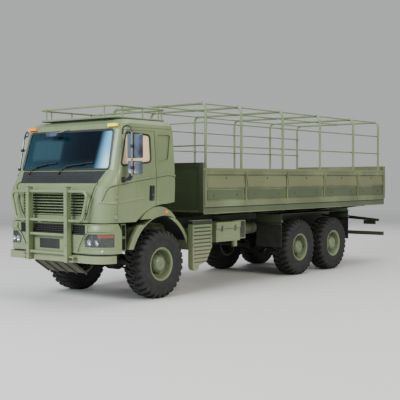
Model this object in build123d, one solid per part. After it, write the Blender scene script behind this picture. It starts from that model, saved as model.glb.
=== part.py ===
from build123d import *
import math
import os

# A six-wheeled military cargo truck, in millimetres. +Z is up, the nose faces -Y and +X is its left side.
# A station is a distance behind the nose, and a height is measured from the ground.

# --- Whole vehicle ---
overall_length = 9800.0
body_width = 2500.0
fit = 0.3
panel_gap = 6.0
half_body = body_width / 2

# --- Wheels and axles ---
tyre_radius = 590.0
tyre_width = 390.0
tyre_wall = 26.0
tread_width = 320.0
tyre_belly = 475.0
lug_count = 20
lug_height = 18.0
lug_width = 94.0
lug_gap = 36.0
lug_root = 12.0
lug_slope = 548.0
bead_radius = 262.0
bead_half = 165.0
rim_flange = 12.0
rim_flange_radius = 290.0
rim_barrel_wall = 12.0
hub_face = 165.0
hub_radius = 150.0
hub_steps = (92.0, 118.0, 136.0)
wheel_disc_face = 34.0
wheel_disc_thickness = 16.0
wheel_nut_circle = 190.0
wheel_nut_count = 10
wheel_nut_radius = 16.0
drum_radius = 215.0
drum_wall = 20.0
drum_mouth = -90.0
spindle_radius = 60.0
spindle_end = 24.0
backing_plate = 6.0
backing_radius = 200.0
wheel_centre_x = 965.0
front_axle = 1588.0
wheelbase = 4446.0
bogie_spacing = 1412.0
axle_tube_radius = 75.0
front_diff_radius = 158.0
rear_diff_radius = 190.0
diff_half = 110.0
diff_taper = 120.0
pinion_nose = 300.0
through_nose = 240.0
pinion_radius = 80.0
middle_axle = front_axle + wheelbase
rear_axle = middle_axle + bogie_spacing
axle_height = tyre_radius

# --- Steering ---
kingpin_x = 800.0
fork_radius = 50.0
fork_gap = 115.0
fork_thickness = 40.0
fork_base = 100.0
knuckle_radius = 62.0
kingpin_radius = 25.0
steer_arm = 150.0
steer_arm_width = 36.0
steer_arm_drop = 65.0
steer_arm_thickness = 40.0
tie_rod_drop = 135.0
tie_rod_radius = 18.0
ball_pin_radius = 12.0
tie_eye_radius = 30.0
tie_eye_height = 44.0

# --- Chassis ---
rail_outer = 430.0
rail_height = 280.0
rail_flange = 80.0
rail_wall = 8.0
rail_bottom = 920.0
rail_front = 180.0
rail_rear = overall_length - 470.0
cross_member = (100.0, 120.0)
cross_member_stations = (2600.0, 3900.0, 5200.0, 6740.0, 8200.0)
rear_beam = 70.0
rail_top = rail_bottom + rail_height
spring_width = 80.0
spring_leaf = 15.0
spring_half_span = 740.0
spring_camber = 120.0
spring_leaves = 4
spring_eye = 28.0
bogie_spring_x = (450.0, 550.0)
bogie_spring_leaves = 5
bogie_spring_rise = 90.0
trunnion_radius = 60.0

# --- Cab: each row is (height, front station, half width, front corner radius) ---
cab_sections = (
    (1345.0, 187.0, half_body - 37.0, 270.0),
    (1640.0, 168.0, half_body - 14.0, 270.0),
    (1930.0, 195.0, half_body, 270.0),
    (2020.0, 280.0, half_body - 2.0, 210.0),
    (2200.0, 400.0, half_body - 7.0, 170.0),
    (2860.0, 570.0, half_body - 52.0, 150.0),
    (2960.0, 625.0, half_body - 82.0, 145.0),
    (3030.0, 745.0, half_body - 165.0, 120.0),
)
cab_rear = 1850.0
cab_rear_corner = 50.0
cab_wall = 45.0
cab_open_depth = 60.0
cab_floor_bottom = 1655.0
cab_floor_top = 1700.0
cab_floor_front = 240.0
arch_radius = 1035.0
arch_flat = 1660.0
arch_join = (1400.0, 1600.0)
arch_run_out = 50.0
window_corner = 60.0
glass_inset = 8.0
glass_thickness = 6.0
# The windscreen is (height, half width) from its sill to its header.
windscreen_outline = ((2205.0, half_body - 175.0), (2855.0, half_body - 225.0))
windscreen_back = 800.0
# Door and window corners are (station, height).
door_pillar = ((430.0, 2060.0), (468.0, 2200.0), (638.0, 2850.0))
door_rear = 1350.0
door_rear_gap = 12.0
door_window = ((520.0, 2262.0), (668.0, 2800.0), (1225.0, 2780.0), (1222.0, 2330.0))
quarter_recess = ((1400.0, 2310.0), (1400.0, 2805.0), (1755.0, 2805.0), (1665.0, 2370.0))
quarter_recess_depth = 25.0
door_hinge_x = half_body + 6.0
door_hinge_heights = (1440.0, 1760.0)
door_hinge_radius = 9.0
door_hinge_pin = 4.0
door_hinge_half = 30.0
door_knuckle_half = 10.0
door_hinge_leaf = 34.0
door_hinge_swing = 5.0
handle_outline = ((1173.0, 1683.0), (1173.0, 1938.0), (1305.0, 1938.0), (1305.0, 1683.0))
handle_recess = 20.0
handle_grip = 36.0
handle_margin = 12.0
grille_half = 800.0
grille_heights = (1430.0, 1840.0)
grille_slats = 7
grille_frame = 32.0
grille_depth = 48.0
grille_set_back = 14.0
grille_slat_inset = 4.0
grille_slat_share = 0.36
grille_slat_lean = 0.1

# --- Front end ---
bumper_front = 130.0
bumper_rear = 520.0
bumper_heights = (850.0, 1330.0)
bumper_half = half_body - 10.0
bumper_corner = 330.0
bumper_wall = 50.0
bumper_hanger = 80.0
bumper_end_cut = (80.0, 130.0)
intake_half = 800.0
intake_heights = (1150.0, 1318.0)
intake_depth = 30.0
lamp_x = (bumper_half - 480.0, bumper_half - 14.0)
lamp_slant = 40.0
lamp_heights = (960.0, 1170.0)
lower_bar_front = 100.0
lower_bar_rear = 400.0
lower_bar_heights = (700.0, 820.0)
lower_bar_wall = 80.0
lower_bar_corner = 290.0
plate_x = (-270.0, 160.0)
plate_heights = (920.0, 1050.0)
plate_thickness = 5.0
tow_eye_x = 600.0
tow_eye_bore = 18.0
tow_eye_half = 45.0
tow_eye_reach = 90.0
tow_eye_cheek = 20.0
tow_eye_gap = 50.0
guard_upright_x = 475.0
guard_upright = (70.0, 100.0)
guard_heights = (700.0, 1920.0)
guard_tube = 25.0
guard_loop = ((810.0, 1375.0), (950.0, 1850.0))
guard_loop_corner = 90.0
guard_bars = (840.0, 1140.0)
skid_half = 480.0
skid_profile = ((180.0, 700.0), (470.0, 500.0), (470.0, 484.0), (165.0, 684.0), (165.0, 700.0))
skid_ribs = 5
skid_rib = (22.0, 24.0)
skid_rib_start = 15.0
skid_rib_lap = 4.0

# --- Fenders and steps ---
fender_centre = (1548.0, 620.0)
fender_inner = 805.0
fender_reach = 400.0
fender_beam_lap = 30.0
fender_sheet = 12.0
fender_lip = 60.0
fender_outer_x = half_body - 10.0
fender_inner_x = 720.0
fender_rear_outer_x = half_body - 150.0
fender_front_height = 900.0
fender_rear_height = 780.0
flare_top = 1290.0
flare_depth = 105.0
arch_lip_bottom = 1380.0
arch_lip_centre = (1409.0, 1014.0)
arch_lip_radius = 568.0
fender_beam = 50.0
step_x = (half_body - 300.0, half_body - 35.0)
step_frame = 12.0
step_length = 115.0
step_heights = (880.0, 1325.0)
step_pocket = (180.0, 70.0)
step_count = 2

# --- Roof rack and lamps ---
rack_half = half_body - 364.0
rack_front = 650.0
rack_rear = 1985.0
rack_corner = 90.0
rack_heights = (3072.0, 3261.0)
rack_tube = 18.0
rack_post = 14.0
rack_slat = (70.0, 12.0)
rack_slats = 7
rack_posts = (910.0, 1400.0, 1885.0)
rack_feet = (910.0, 1400.0, 1770.0)
rack_end_posts = (-720.0, 720.0)
roof_marker_x = (half_body - 350.0, half_body - 160.0)
roof_marker_heights = (2905.0, 2950.0)
roof_marker_proud = 40.0
side_marker = ((1555.0, 1625.0), (1462.0, 1512.0), 12.0)

# --- Mirrors: heads are (x pair, station pair, height pair) ---
mirror_heads = (((half_body + 70.0, half_body + 340.0), (570.0, 650.0), (2380.0, 2760.0)),
                ((half_body + 80.0, half_body + 330.0), (570.0, 650.0), (2120.0, 2335.0)))
mirror_arm_x = half_body + 205.0
# The right set is swung back, on an arm that stands nearer the door and leans with the pillar.
swung_back = 400.0
swung_arm_x = half_body + 130.0
mirror_feet = ((540.0, 2035.0), (700.0, 2822.0))
mirror_foot = 10.0
mirror_foot_radius = 19.0
mirror_arm_radius = 14.0
mirror_stub_radius = 11.0
mirror_arm_bend = 60.0
mirror_head_corner = 25.0
front_mirror_head = ((-440.0, -180.0), (395.0, 440.0), (2780.0, 2850.0))
front_mirror_corner = 30.0
front_mirror_foot = (-40.0, 2895.0)
front_mirror_arm = 9.0

wiper_pivots = (-820.0, -60.0)
wiper_base = 2150.0
wiper_length = 560.0
wiper_angle = 24.0
wiper_proud = 26.0
wiper_hub = 16.0
wiper_arm = 8.0
wiper_blade = 470.0

# --- Bed ---
bed_front = 2600.0
headboard_thickness = 45.0
headboard_heights = (1440.0, 2340.0)
subframe_height = 120.0
bearer_bottom = rail_top + subframe_height
bearer_height = 160.0
bearer_end_height = 80.0
bearer_tip = bearer_bottom + bearer_end_height
bearer_top = bearer_bottom + bearer_height
bed_floor_thickness = 80.0
bed_floor_heights = (bearer_top, bearer_top + bed_floor_thickness)
bed_rail_depth = 70.0
bed_rail_bottom = bed_floor_heights[0] - bed_rail_depth
hinge_set_down = 25.0
hinge_height = bed_floor_heights[1] - hinge_set_down
bed_side_inner = half_body - 55.0
bed_side_top = 2235.0
bed_post = 56.0
# Places along the bed are shares of the way from its headboard to the tail.
bed_length = overall_length - bed_front
bed_post_stations = tuple(bed_front + share * bed_length for share in (0.1833, 0.3847, 0.5931, 0.8042))
bed_board_lip = 28.0
bed_board_edge = 14.0
bed_board_foot = (78.0, 300.0)
bed_board_slope = (4.0, 24.0)
bed_board_head = 118.0
bed_board_rise = 12.0
bed_rear_rail = 60.0
tailgate_thickness = 55.0
tailgate_top = 2350.0
tailgate_clearance = 20.0
tailgate_swing_gap = 5.0
panel_recess = 15.0
panel_border = 80.0
bearer_stations = tuple(bed_front + share * bed_length for share in (0.0542, 0.2028, 0.3653, 0.525, 0.6847, 0.8472))
bearer_width = 80.0
bearer_taper_x = 600.0
subframe_rear = overall_length - 400.0
hinge_station = overall_length - 25.0
hinge_pin = 9.0
hinge_knuckle = 14.0
hinge_lug = 60.0
hinge_pin_reach = 40.0
hinge_positions = (-1000.0, 0.0, 1000.0)

# --- Tilt frame ---
bow_stations = tuple(bed_front + share * bed_length for share in (0.0232, 0.1761, 0.3768, 0.5836, 0.7929, 0.9685))
bow_pocket = (30.0, 60.0)
bow_radius = 25.0
bow_top = 3450.0
bow_bend = 95.0
stringer_radius = 14.0
stringer_heights = (2660.0, 3080.0)
roof_rail_x = (-1070.0, 0.0, 1070.0)

# --- Side equipment ---
ribbed_guard_outline = ((2310.0, 1300.0), (2850.0, 1300.0), (2850.0, 800.0), (2690.0, 540.0), (2310.0, 540.0))
ribbed_guard_x = (half_body - 120.0, half_body - 10.0)
ribbed_guard_tip = (2395.0, 410.0)
ribbed_guard_tip_radius = 85.0
guard_rib_pitch = 68.0
guard_rib = (26.0, 10.0)
guard_rib_end = 25.0
ribbed_guard_chin = 50.0
ribbed_guard_carriers = (2480.0, 2760.0)
tool_box_stations = (3010.0, 3760.0)
tool_box_x = (half_body - 390.0, half_body - 20.0)
tool_box_heights = (880.0, 1240.0)
tool_box_lid = 120.0
tool_box_lip = 10.0
tool_box_carriers = (3150.0, 3620.0)
dryer_radius = 52.0
dryer_station = 3640.0
dryer_height = 110.0
side_box_stations = (3780.0, 4230.0)
side_box_x = (560.0, 1000.0)
carrier = 50.0
carrier_bottom = 1080.0
fuel_tank_stations = (2960.0, 4160.0)
fuel_tank_x = (half_body - 610.0, half_body - 30.0)
fuel_tank_heights = (720.0, 1230.0)
fuel_tank_corner = 90.0
fuel_tank_strap = 200.0
air_tank_radius = 120.0
air_tank_stations = (4380.0, 5020.0)
air_tank_x = 600.0
air_tank_height = 1040.0
air_tank_strap = 150.0
air_tank_lap = 30.0
flap_x = ((600.0, half_body - 25.0), (600.0, half_body - 140.0))
flap_stations = (5180.0, 8180.0)
flap_heights = (645.0, 1150.0)
flap_plate_top = 1318.0
flap_thickness = 12.0
flap_plate = 8.0
bogie_guard_x = (600.0, half_body - 70.0)
bogie_guard_sheet = 6.0

# --- Rear end ---
light_bar_station = overall_length - 120.0
light_bar_depth = 40.0
light_bar_half = half_body - 120.0
light_bar_outline = ((-light_bar_half, 990.0), (-light_bar_half, 1050.0), (-300.0, 1118.0), (300.0, 1118.0),
                     (light_bar_half, 1050.0), (light_bar_half, 990.0), (300.0, 1040.0), (-300.0, 1040.0))
light_bar_arm = (1045.0, 1100.0)
tail_lamp_x = (700.0, 1010.0)
tail_lamp_heights = (915.0, 1000.0)
tail_lamp_depth = 60.0
underride_half = half_body - 22.0
underride_heights = (643.0, 733.0)
underride_stations = (overall_length - 70.0, overall_length - 15.0)
underride_arm = 90.0
rear_arm_x = 200.0
rear_arm_width = 40.0
hitch_size = 110.0
hitch_reach = 150.0
hitch_bore = 20.0
hitch_rise = 30.0

# --- Cab inside and drive ---
dash_profile = ((480.0, 1700.0), (480.0, 2110.0), (640.0, 2160.0), (800.0, 2080.0), (810.0, 1960.0), (680.0, 1900.0),
                (680.0, 1700.0))
dash_half = half_body - 130.0
seat_x = (650.0, -650.0)
seat_width = 520.0
seat_profile = ((1000.0, 1850.0), (1000.0, 2000.0), (1440.0, 2000.0), (1520.0, 2640.0), (1620.0, 2640.0),
                (1540.0, 1850.0), (1480.0, 1850.0), (1480.0, 1700.0), (1080.0, 1700.0), (1080.0, 1850.0))
steering_wheel_x = 650.0
steering_wheel_centre = (880.0, 2150.0)
steering_wheel_radius = 225.0
steering_wheel_rim = 15.0
steering_wheel_tilt = 35.0
engine_x = 300.0
engine_stations = (620.0, 1700.0)
engine_heights = (900.0, 1560.0)
sump_heights = (800.0, 900.0)
gearbox_radius = 185.0
gearbox_rear = 2500.0
gearbox_height = 1060.0
radiator_stations = (400.0, 470.0)
radiator_half = 340.0
radiator_heights = (980.0, 1600.0)
transfer_stations = (3700.0, 4100.0)
transfer_half = 190.0
transfer_heights = (700.0, 1000.0)
shaft_radius = 42.0
shaft_flange = (70.0, 30.0)
shaft_height = 780.0
cab_mount_stations = (570.0, 1740.0)
cab_mount = 80.0

os.makedirs("parts", exist_ok=True)


# --- Shared shapes ---

def along(station):
    # The row's y for a distance behind the nose.
    return station - overall_length / 2


def block(x, stations, heights):
    size = (x[1] - x[0], stations[1] - stations[0], heights[1] - heights[0])
    centre = (sum(x) / 2, along(sum(stations) / 2), sum(heights) / 2)
    return Pos(*centre) * Box(*size)


def rod(start, end, radius):
    # Both ends are (x, station, height).
    first = Vector(start[0], along(start[1]), start[2])
    last = Vector(end[0], along(end[1]), end[2])
    return Solid.make_cylinder(radius, (last - first).length, Plane(first, z_dir=last - first))


def ball(centre, radius):
    return Pos(centre[0], along(centre[1]), centre[2]) * Sphere(radius)


def side_prism(outline, x):
    # An outline of (station, height) corners, extruded across the vehicle.
    corners = [(x[0], along(station), height) for station, height in outline]
    return Solid.extrude(Face(Wire.make_polygon(corners)), Vector(x[1] - x[0], 0, 0))


def front_prism(outline, stations):
    # An outline of (x, height) corners, extruded along the vehicle.
    corners = [(x, along(stations[0]), height) for x, height in outline]
    return Solid.extrude(Face(Wire.make_polygon(corners)), Vector(0, stations[1] - stations[0], 0))


def turned(profile):
    # A profile of (x, radius) corners, turned about the x axis.
    corners = [(x, 0, radius) for x, radius in profile]
    return Solid.revolve(Face(Wire.make_polygon(corners)), 360, Axis.X)


def opposite(shape):
    return mirror(shape, about=Plane.YZ)


def both(shape):
    return [shape, opposite(shape)]


def joined(shapes):
    return Part() + [solid for shape in shapes for solid in shape.solids()]


def common(first, second):
    # The material that two shapes share.
    return joined(first.intersect(second))


def save(node, *shapes):
    solids = [solid for shape in shapes for solid in shape.solids()]
    export_step(Compound(solids), f"parts/{node}.step")


# --- Wheels ---

def stepped(profile, sides):
    # A closed profile of (x, radius) corners, turned about the x axis in flat steps, one of them facing down.
    half_step = math.pi / sides
    stretch = 1 / math.cos(half_step)
    faces = []
    for (x0, r0), (x1, r1) in zip(profile, profile[1:] + profile[:1]):
        for side in range(sides):
            first, last = (2 * side - 1) * half_step, (2 * side + 1) * half_step
            corners = [(x, radius * stretch * math.sin(angle), -radius * stretch * math.cos(angle))
                       for x, radius, angle in ((x0, r0, first), (x0, r0, last), (x1, r1, last), (x1, r1, first))]
            faces.append(Face(Wire.make_polygon(corners)))
    return Solid(Shell(faces))


def tread_lug(index):
    # One lug of the tread: the rows at the two edges take turns round the tyre.
    side = 1 if index % 2 == 0 else -1
    half = tyre_width / 2
    tread = tread_width / 2
    floor = tyre_radius - lug_height
    profile = ((lug_gap / 2, floor - lug_root), (lug_gap / 2, tyre_radius), (tread - lug_root, tyre_radius),
               (half, lug_slope), (tread - 2 * lug_root, lug_slope))
    corners = [(side * x, -lug_width / 2, -radius) for x, radius in profile]
    lug = Solid.extrude(Face(Wire.make_polygon(corners)), Vector(0, lug_width, 0))
    return Rot(360 * index / lug_count, 0, 0) * lug


def tyre():
    half = tyre_width / 2
    bead = bead_half - fit
    seat = bead_radius + fit
    tread = tread_width / 2
    floor = tyre_radius - lug_height
    outer = [(bead, seat), (bead, rim_flange_radius + panel_gap), (half, tyre_belly), (tread, floor)]
    inner = [(tread - tyre_wall, floor - tyre_wall), (bead - tyre_wall, seat)]
    loop = outer + [(-x, radius) for x, radius in reversed(outer)]
    loop += [(-x, radius) for x, radius in reversed(inner)] + inner
    return joined([stepped(loop, lug_count)] + [tread_lug(index) for index in range(lug_count)])


def wheel():
    # The rim, its disc, the brake drum and the hub, turned as one.
    edge = bead_half + rim_flange
    inside = bead_radius - rim_barrel_wall
    drum_inside = drum_radius - drum_wall
    bore = spindle_radius + fit
    cap, brow, cheek = hub_steps
    profile = [(hub_face, 0), (hub_face, cap), (hub_face - 16, brow), (hub_face - 52, cheek),
               (wheel_disc_face + 10, hub_radius), (wheel_disc_face, hub_radius + 14), (wheel_disc_face, inside),
               (edge, inside + 6), (edge, rim_flange_radius), (bead_half, rim_flange_radius),
               (bead_half, bead_radius), (-bead_half, bead_radius), (-bead_half, rim_flange_radius),
               (-edge, rim_flange_radius), (-edge, inside), (wheel_disc_face - wheel_disc_thickness, inside),
               (wheel_disc_face - wheel_disc_thickness, drum_radius), (drum_mouth, drum_radius),
               (drum_mouth, drum_inside), (0, drum_inside), (0, spindle_radius + 34),
               (drum_mouth + 6, spindle_radius + 34), (drum_mouth + 6, bore), (spindle_end + 6, bore),
               (spindle_end + 6, 0)]
    body = turned(profile)
    nuts = []
    for index in range(wheel_nut_count):
        angle = 360 * index / wheel_nut_count
        nut = Solid.make_cylinder(wheel_nut_radius, 26, Plane((wheel_disc_face - 1, 0, wheel_nut_circle), z_dir=(1, 0, 0)))
        nuts.append(Rot(angle, 0, 0) * nut)
    return joined([body] + nuts)


wheel_places = {
    "front": front_axle,
    "middle": middle_axle,
    "rear": rear_axle,
}
tyre_shape = tyre()
wheel_shape = wheel()
for place, axle_station in wheel_places.items():
    left = Pos(wheel_centre_x, along(axle_station), axle_height)
    right = Pos(-wheel_centre_x, along(axle_station), axle_height)
    save(f"tyre_{place}_left", left * tyre_shape)
    save(f"tyre_{place}_right", right * tyre_shape)
    save(f"wheel_{place}_left", left * wheel_shape)
    save(f"wheel_{place}_right", right * opposite(wheel_shape))


# --- Steering knuckles ---

def knuckle():
    # The left one, about its kingpin, with the spindle pointing out along +x.
    plate_outer = wheel_centre_x + drum_mouth - panel_gap
    knuckle_half = fork_gap - fit
    post = rod((kingpin_x, front_axle, axle_height - knuckle_half), (kingpin_x, front_axle, axle_height + knuckle_half),
               knuckle_radius)
    pin_reach = fork_gap + fork_thickness
    pin = rod((kingpin_x, front_axle, axle_height - pin_reach), (kingpin_x, front_axle, axle_height + pin_reach),
              kingpin_radius)
    spindle = rod((kingpin_x, front_axle, axle_height), (wheel_centre_x + spindle_end, front_axle, axle_height),
                  spindle_radius)
    plate = rod((plate_outer - backing_plate, front_axle, axle_height), (plate_outer, front_axle, axle_height),
                backing_radius)
    arm_top = axle_height - steer_arm_drop + steer_arm_thickness / 2
    arm_bottom = arm_top - steer_arm_thickness
    arm = block((kingpin_x - steer_arm_width / 2, kingpin_x + steer_arm_width / 2),
                (front_axle, front_axle + steer_arm + steer_arm_width / 2), (arm_bottom, arm_top))
    rod_bottom = axle_height - tie_rod_drop - tie_eye_height / 2
    stud = rod((kingpin_x, front_axle + steer_arm, rod_bottom), (kingpin_x, front_axle + steer_arm, arm_top),
               ball_pin_radius)
    return joined([post, pin, spindle, plate, arm, stud])


def tie_rod():
    height = axle_height - tie_rod_drop
    station = front_axle + steer_arm
    bar = rod((-kingpin_x, station, height), (kingpin_x, station, height), tie_rod_radius)
    eyes = []
    holes = []
    for side in (-kingpin_x, kingpin_x):
        low = (side, station, height - tie_eye_height / 2)
        high = (side, station, height + tie_eye_height / 2)
        eyes.append(rod(low, high, tie_eye_radius))
        holes.append(rod(low, high, ball_pin_radius + fit))
    return joined([bar] + eyes) - holes[0] - holes[1]


save("knuckle_left", knuckle())
save("knuckle_right", opposite(knuckle()))
save("tie_rod", tie_rod())


# --- Axles ---

def axle_casing(station, diff_radius, ends):
    # The tube and the differential's bulge, turned as one; `ends` are (x, radius) corners past the tube.
    half = [(diff_half, diff_radius), (diff_half + diff_taper, axle_tube_radius)] + ends
    profile = half + [(ends[-1][0], 0), (-ends[-1][0], 0)] + [(-x, radius) for x, radius in reversed(half)]
    return Pos(0, along(station), axle_height) * turned(profile)


def front_axle_beam():
    tube_end = kingpin_x - fork_base
    parts = [axle_casing(front_axle, front_diff_radius, [(tube_end, axle_tube_radius)]),
             rod((0, front_axle, axle_height), (0, front_axle + pinion_nose, axle_height), pinion_radius)]
    arm_outer = fork_gap + fork_thickness
    for side in (-1, 1):
        ends = sorted((side * (tube_end - fork_thickness), side * tube_end))
        parts.append(block(ends, (front_axle - fork_radius, front_axle + fork_radius),
                           (axle_height - arm_outer, axle_height + arm_outer)))
        for low in (-arm_outer, fork_gap):
            heights = (axle_height + low, axle_height + low + fork_thickness)
            reach = sorted((side * tube_end, side * kingpin_x))
            parts.append(block(reach, (front_axle - fork_radius, front_axle + fork_radius), heights))
            parts.append(rod((side * kingpin_x, front_axle, heights[0]), (side * kingpin_x, front_axle, heights[1]),
                             fork_radius))
    beam = joined(parts)
    for side in (-1, 1):
        beam = beam - rod((side * kingpin_x, front_axle, axle_height - 2 * arm_outer),
                          (side * kingpin_x, front_axle, axle_height + 2 * arm_outer), kingpin_radius + fit)
    return beam


def driven_axle(station, rear_nose):
    plate_outer = wheel_centre_x + drum_mouth - panel_gap
    spindle = wheel_centre_x + spindle_end
    plate_inner = plate_outer - backing_plate
    ends = [(plate_inner, axle_tube_radius), (plate_inner, backing_radius), (plate_outer, backing_radius),
            (plate_outer, spindle_radius), (spindle, spindle_radius)]
    nose = rod((0, station - pinion_nose, axle_height), (0, station + rear_nose, axle_height), pinion_radius)
    return joined([axle_casing(station, rear_diff_radius, ends), nose])


save("front_axle", front_axle_beam())
save("bogie_axles", driven_axle(middle_axle, through_nose), driven_axle(rear_axle, 0))


# --- Springs ---

def leaf(station, half, sag, height, x, drop):
    # One leaf: an arc of the given half span whose ends stand `sag` above its middle.
    thickness = spring_leaf + (0.5 if drop else 0.0)
    rows = []
    for level in (height, height + thickness):
        rows.append(((x[0], along(station - half), level + sag), (x[0], along(station), level),
                     (x[0], along(station + half), level + sag)))
    lower, upper = rows
    edges = [ThreePointArc(*lower).edge(), Line(lower[2], upper[2]).edge(),
             ThreePointArc(*reversed(upper)).edge(), Line(upper[0], lower[0]).edge()]
    return Solid.extrude(Face(Wire(edges)), Vector(x[1] - x[0], 0, 0))


def front_spring():
    x = (rail_outer - spring_width, rail_outer)
    base = axle_height + axle_tube_radius
    parts = []
    for index in range(spring_leaves):
        share = 1 - 0.2 * (spring_leaves - 1 - index)
        half = spring_half_span * share
        sag = spring_camber * share ** 2
        parts.append(leaf(front_axle, half, sag, base + index * spring_leaf, x, index < spring_leaves - 1))
    eye_height = base + (spring_leaves - 0.5) * spring_leaf + spring_camber
    for end in (-spring_half_span, spring_half_span):
        station = front_axle + end
        parts.append(rod((x[0], station, eye_height), (x[1], station, eye_height), spring_eye))
        parts.append(block(x, (station - spring_eye, station + spring_eye), (eye_height, rail_bottom)))
    parts.append(block(x, (front_axle - 60, front_axle + 60), (axle_height + 0.8 * axle_tube_radius, base + 4)))
    saddle = joined(parts)
    return saddle - rod((x[0], front_axle, axle_height), (x[1], front_axle, axle_height), axle_tube_radius + fit)


def bogie_spring():
    x = bogie_spring_x
    centre = (middle_axle + rear_axle) / 2
    half = bogie_spacing / 2 + 60
    top = axle_height + axle_tube_radius + fit
    base = top + bogie_spring_rise
    parts = []
    for index in range(bogie_spring_leaves):
        share = 1 - 0.15 * index
        parts.append(leaf(centre, half * share, -bogie_spring_rise * share ** 2, base + index * spring_leaf, x, True))
    trunnion = base - trunnion_radius
    parts.append(rod((rail_outer - rail_flange, centre, trunnion), (x[1], centre, trunnion), trunnion_radius))
    parts.append(block(x, (centre - 70, centre + 70), (trunnion, base + 2)))
    parts.append(block((rail_outer - rail_flange, rail_outer), (centre - 90, centre + 90), (trunnion - 40, rail_bottom)))
    return joined(parts)


save("leaf_springs", *both(front_spring()), *both(bogie_spring()))


# --- Chassis frame ---

def frame_rail():
    inner = rail_outer - rail_flange
    web = rail_outer - rail_wall
    outline = ((rail_outer, rail_bottom), (rail_outer, rail_top), (inner, rail_top), (inner, rail_top - rail_wall),
               (web, rail_top - rail_wall), (web, rail_bottom + rail_wall), (inner, rail_bottom + rail_wall),
               (inner, rail_bottom))
    return front_prism(outline, (rail_front, rail_rear))


def frame_cross_members():
    half = rail_outer - rail_wall
    middle = (rail_bottom + rail_top) / 2
    members = []
    for station in cross_member_stations:
        members.append(block((-half, half), (station - cross_member[0] / 2, station + cross_member[0] / 2),
                             (middle - cross_member[1] / 2, middle + cross_member[1] / 2)))
    return members


def bumper_hangers():
    start = lower_bar_front + lower_bar_wall
    hanger = block((rail_outer - rail_flange, rail_outer), (start, start + bumper_hanger),
                   (lower_bar_heights[0], rail_bottom))
    return both(hanger)


def cab_mounts():
    mounts = []
    for station in cab_mount_stations:
        post = block((rail_outer - cab_mount, rail_outer), (station - cab_mount / 2, station + cab_mount / 2),
                     (rail_top, cab_floor_bottom))
        mounts += both(post)
    return mounts


rear_beam_shape = block((-rail_outer, rail_outer), (rail_rear, rail_rear + rear_beam), (rail_bottom, rail_top))
save("chassis_frame", *both(frame_rail()), *frame_cross_members(), *bumper_hangers(), rear_beam_shape,
     *cab_mounts())


# --- Engine, gearbox and drive ---

def engine():
    mid = (engine_stations[0] + engine_stations[1]) / 2
    parts = [block((-engine_x, engine_x), engine_stations, engine_heights),
             block((-engine_x / 2, engine_x / 2), (engine_stations[0] + 120, engine_stations[1] - 60), sump_heights),
             rod((0, engine_stations[1], gearbox_height), (0, gearbox_rear, gearbox_height), gearbox_radius)]
    web = rail_outer - rail_wall
    for side in (-1, 1):
        reach = sorted((side * engine_x, side * web))
        parts.append(block(reach, (mid - 60, mid + 60), (rail_bottom + 60, rail_bottom + 160)))
    return joined(parts)


def propshaft(start, end):
    # A shaft between two (station, height) faces, with an upright flange at each.
    parts = [rod((0, start[0], start[1]), (0, start[0] + shaft_flange[1], start[1]), shaft_flange[0]),
             rod((0, end[0] - shaft_flange[1], end[1]), (0, end[0], end[1]), shaft_flange[0]),
             rod((0, start[0] + shaft_flange[1] / 2, start[1]), (0, end[0] - shaft_flange[1] / 2, end[1]),
                 shaft_radius)]
    return joined(parts)


def transfer_case():
    return block((-transfer_half, transfer_half), transfer_stations, transfer_heights)


def radiator():
    core = block((-radiator_half, radiator_half), radiator_stations, radiator_heights)
    foot_heights = (radiator_heights[0], radiator_heights[0] + 60)
    feet = both(block((radiator_half - 10, rail_outer - rail_wall), radiator_stations, foot_heights))
    return joined([core] + feet)


save("engine", engine(), radiator())
save("driveline", transfer_case(),
     propshaft((front_axle + pinion_nose, axle_height), (transfer_stations[0], shaft_height)),
     propshaft((transfer_stations[1], shaft_height), (middle_axle - pinion_nose, axle_height)),
     propshaft((middle_axle + through_nose, axle_height), (rear_axle - pinion_nose, axle_height)))


# --- Cab body ---

def cab_plan(height, front, half_width, corner, inset):
    depth = cab_rear - front - 2 * inset
    plan = Rectangle(2 * (half_width - inset), depth)
    plan = fillet(plan.vertices().group_by(Axis.Y)[0], corner - inset)
    plan = fillet(plan.vertices().group_by(Axis.Y)[-1], cab_rear_corner - inset)
    return Pos(0, along(front + inset + depth / 2), height) * plan


def cab_solid(inset, roof_drop=0.0, floor_drop=0.0):
    # The cab's outer shape moved inwards by `inset`, with its roof lowered and its open bottom deepened.
    plans = []
    last = len(cab_sections) - 1
    for row, (height, front, half_width, corner) in enumerate(cab_sections):
        shift = -roof_drop if row >= last - 1 else 0.0
        shift = shift - floor_drop if row == 0 else shift
        plans.append(cab_plan(height + shift, front, half_width, corner, inset))
    return loft(plans, ruled=True)


def cab_row(height):
    # The cab's front station, half width and corner radius at a height, between the rows above and below it.
    for low, high in zip(cab_sections, cab_sections[1:]):
        if low[0] <= height <= high[0]:
            share = (height - low[0]) / (high[0] - low[0])
            return [start + share * (end - start) for start, end in zip(low[1:], high[1:])]


def arch_cut():
    half = half_body + 50
    barrel = rod((-half, front_axle, axle_height), (half, front_axle, axle_height), arch_radius)
    rear = cab_rear + arch_run_out
    behind = side_prism(((arch_join[0], axle_height), arch_join, (rear, arch_flat), (rear, axle_height)), (-half, half))
    return common(barrel, block((-half, half), (0, rear), (0, arch_flat))) + behind


def grown(outline, amount):
    # A convex outline moved outwards from its middle by `amount` along both axes.
    middle = [sum(point[axis] for point in outline) / len(outline) for axis in (0, 1)]
    moved = []
    for point in outline:
        moved.append(tuple(value + amount * math.copysign(1, value - centre) for value, centre in zip(point, middle)))
    return tuple(moved)


def side_cut(outline, margin=0.0, corner=window_corner):
    solid = side_prism(grown(outline, margin), (0, half_body + 60))
    return fillet(solid.edges().filter_by(Axis.X), corner + margin)


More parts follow.
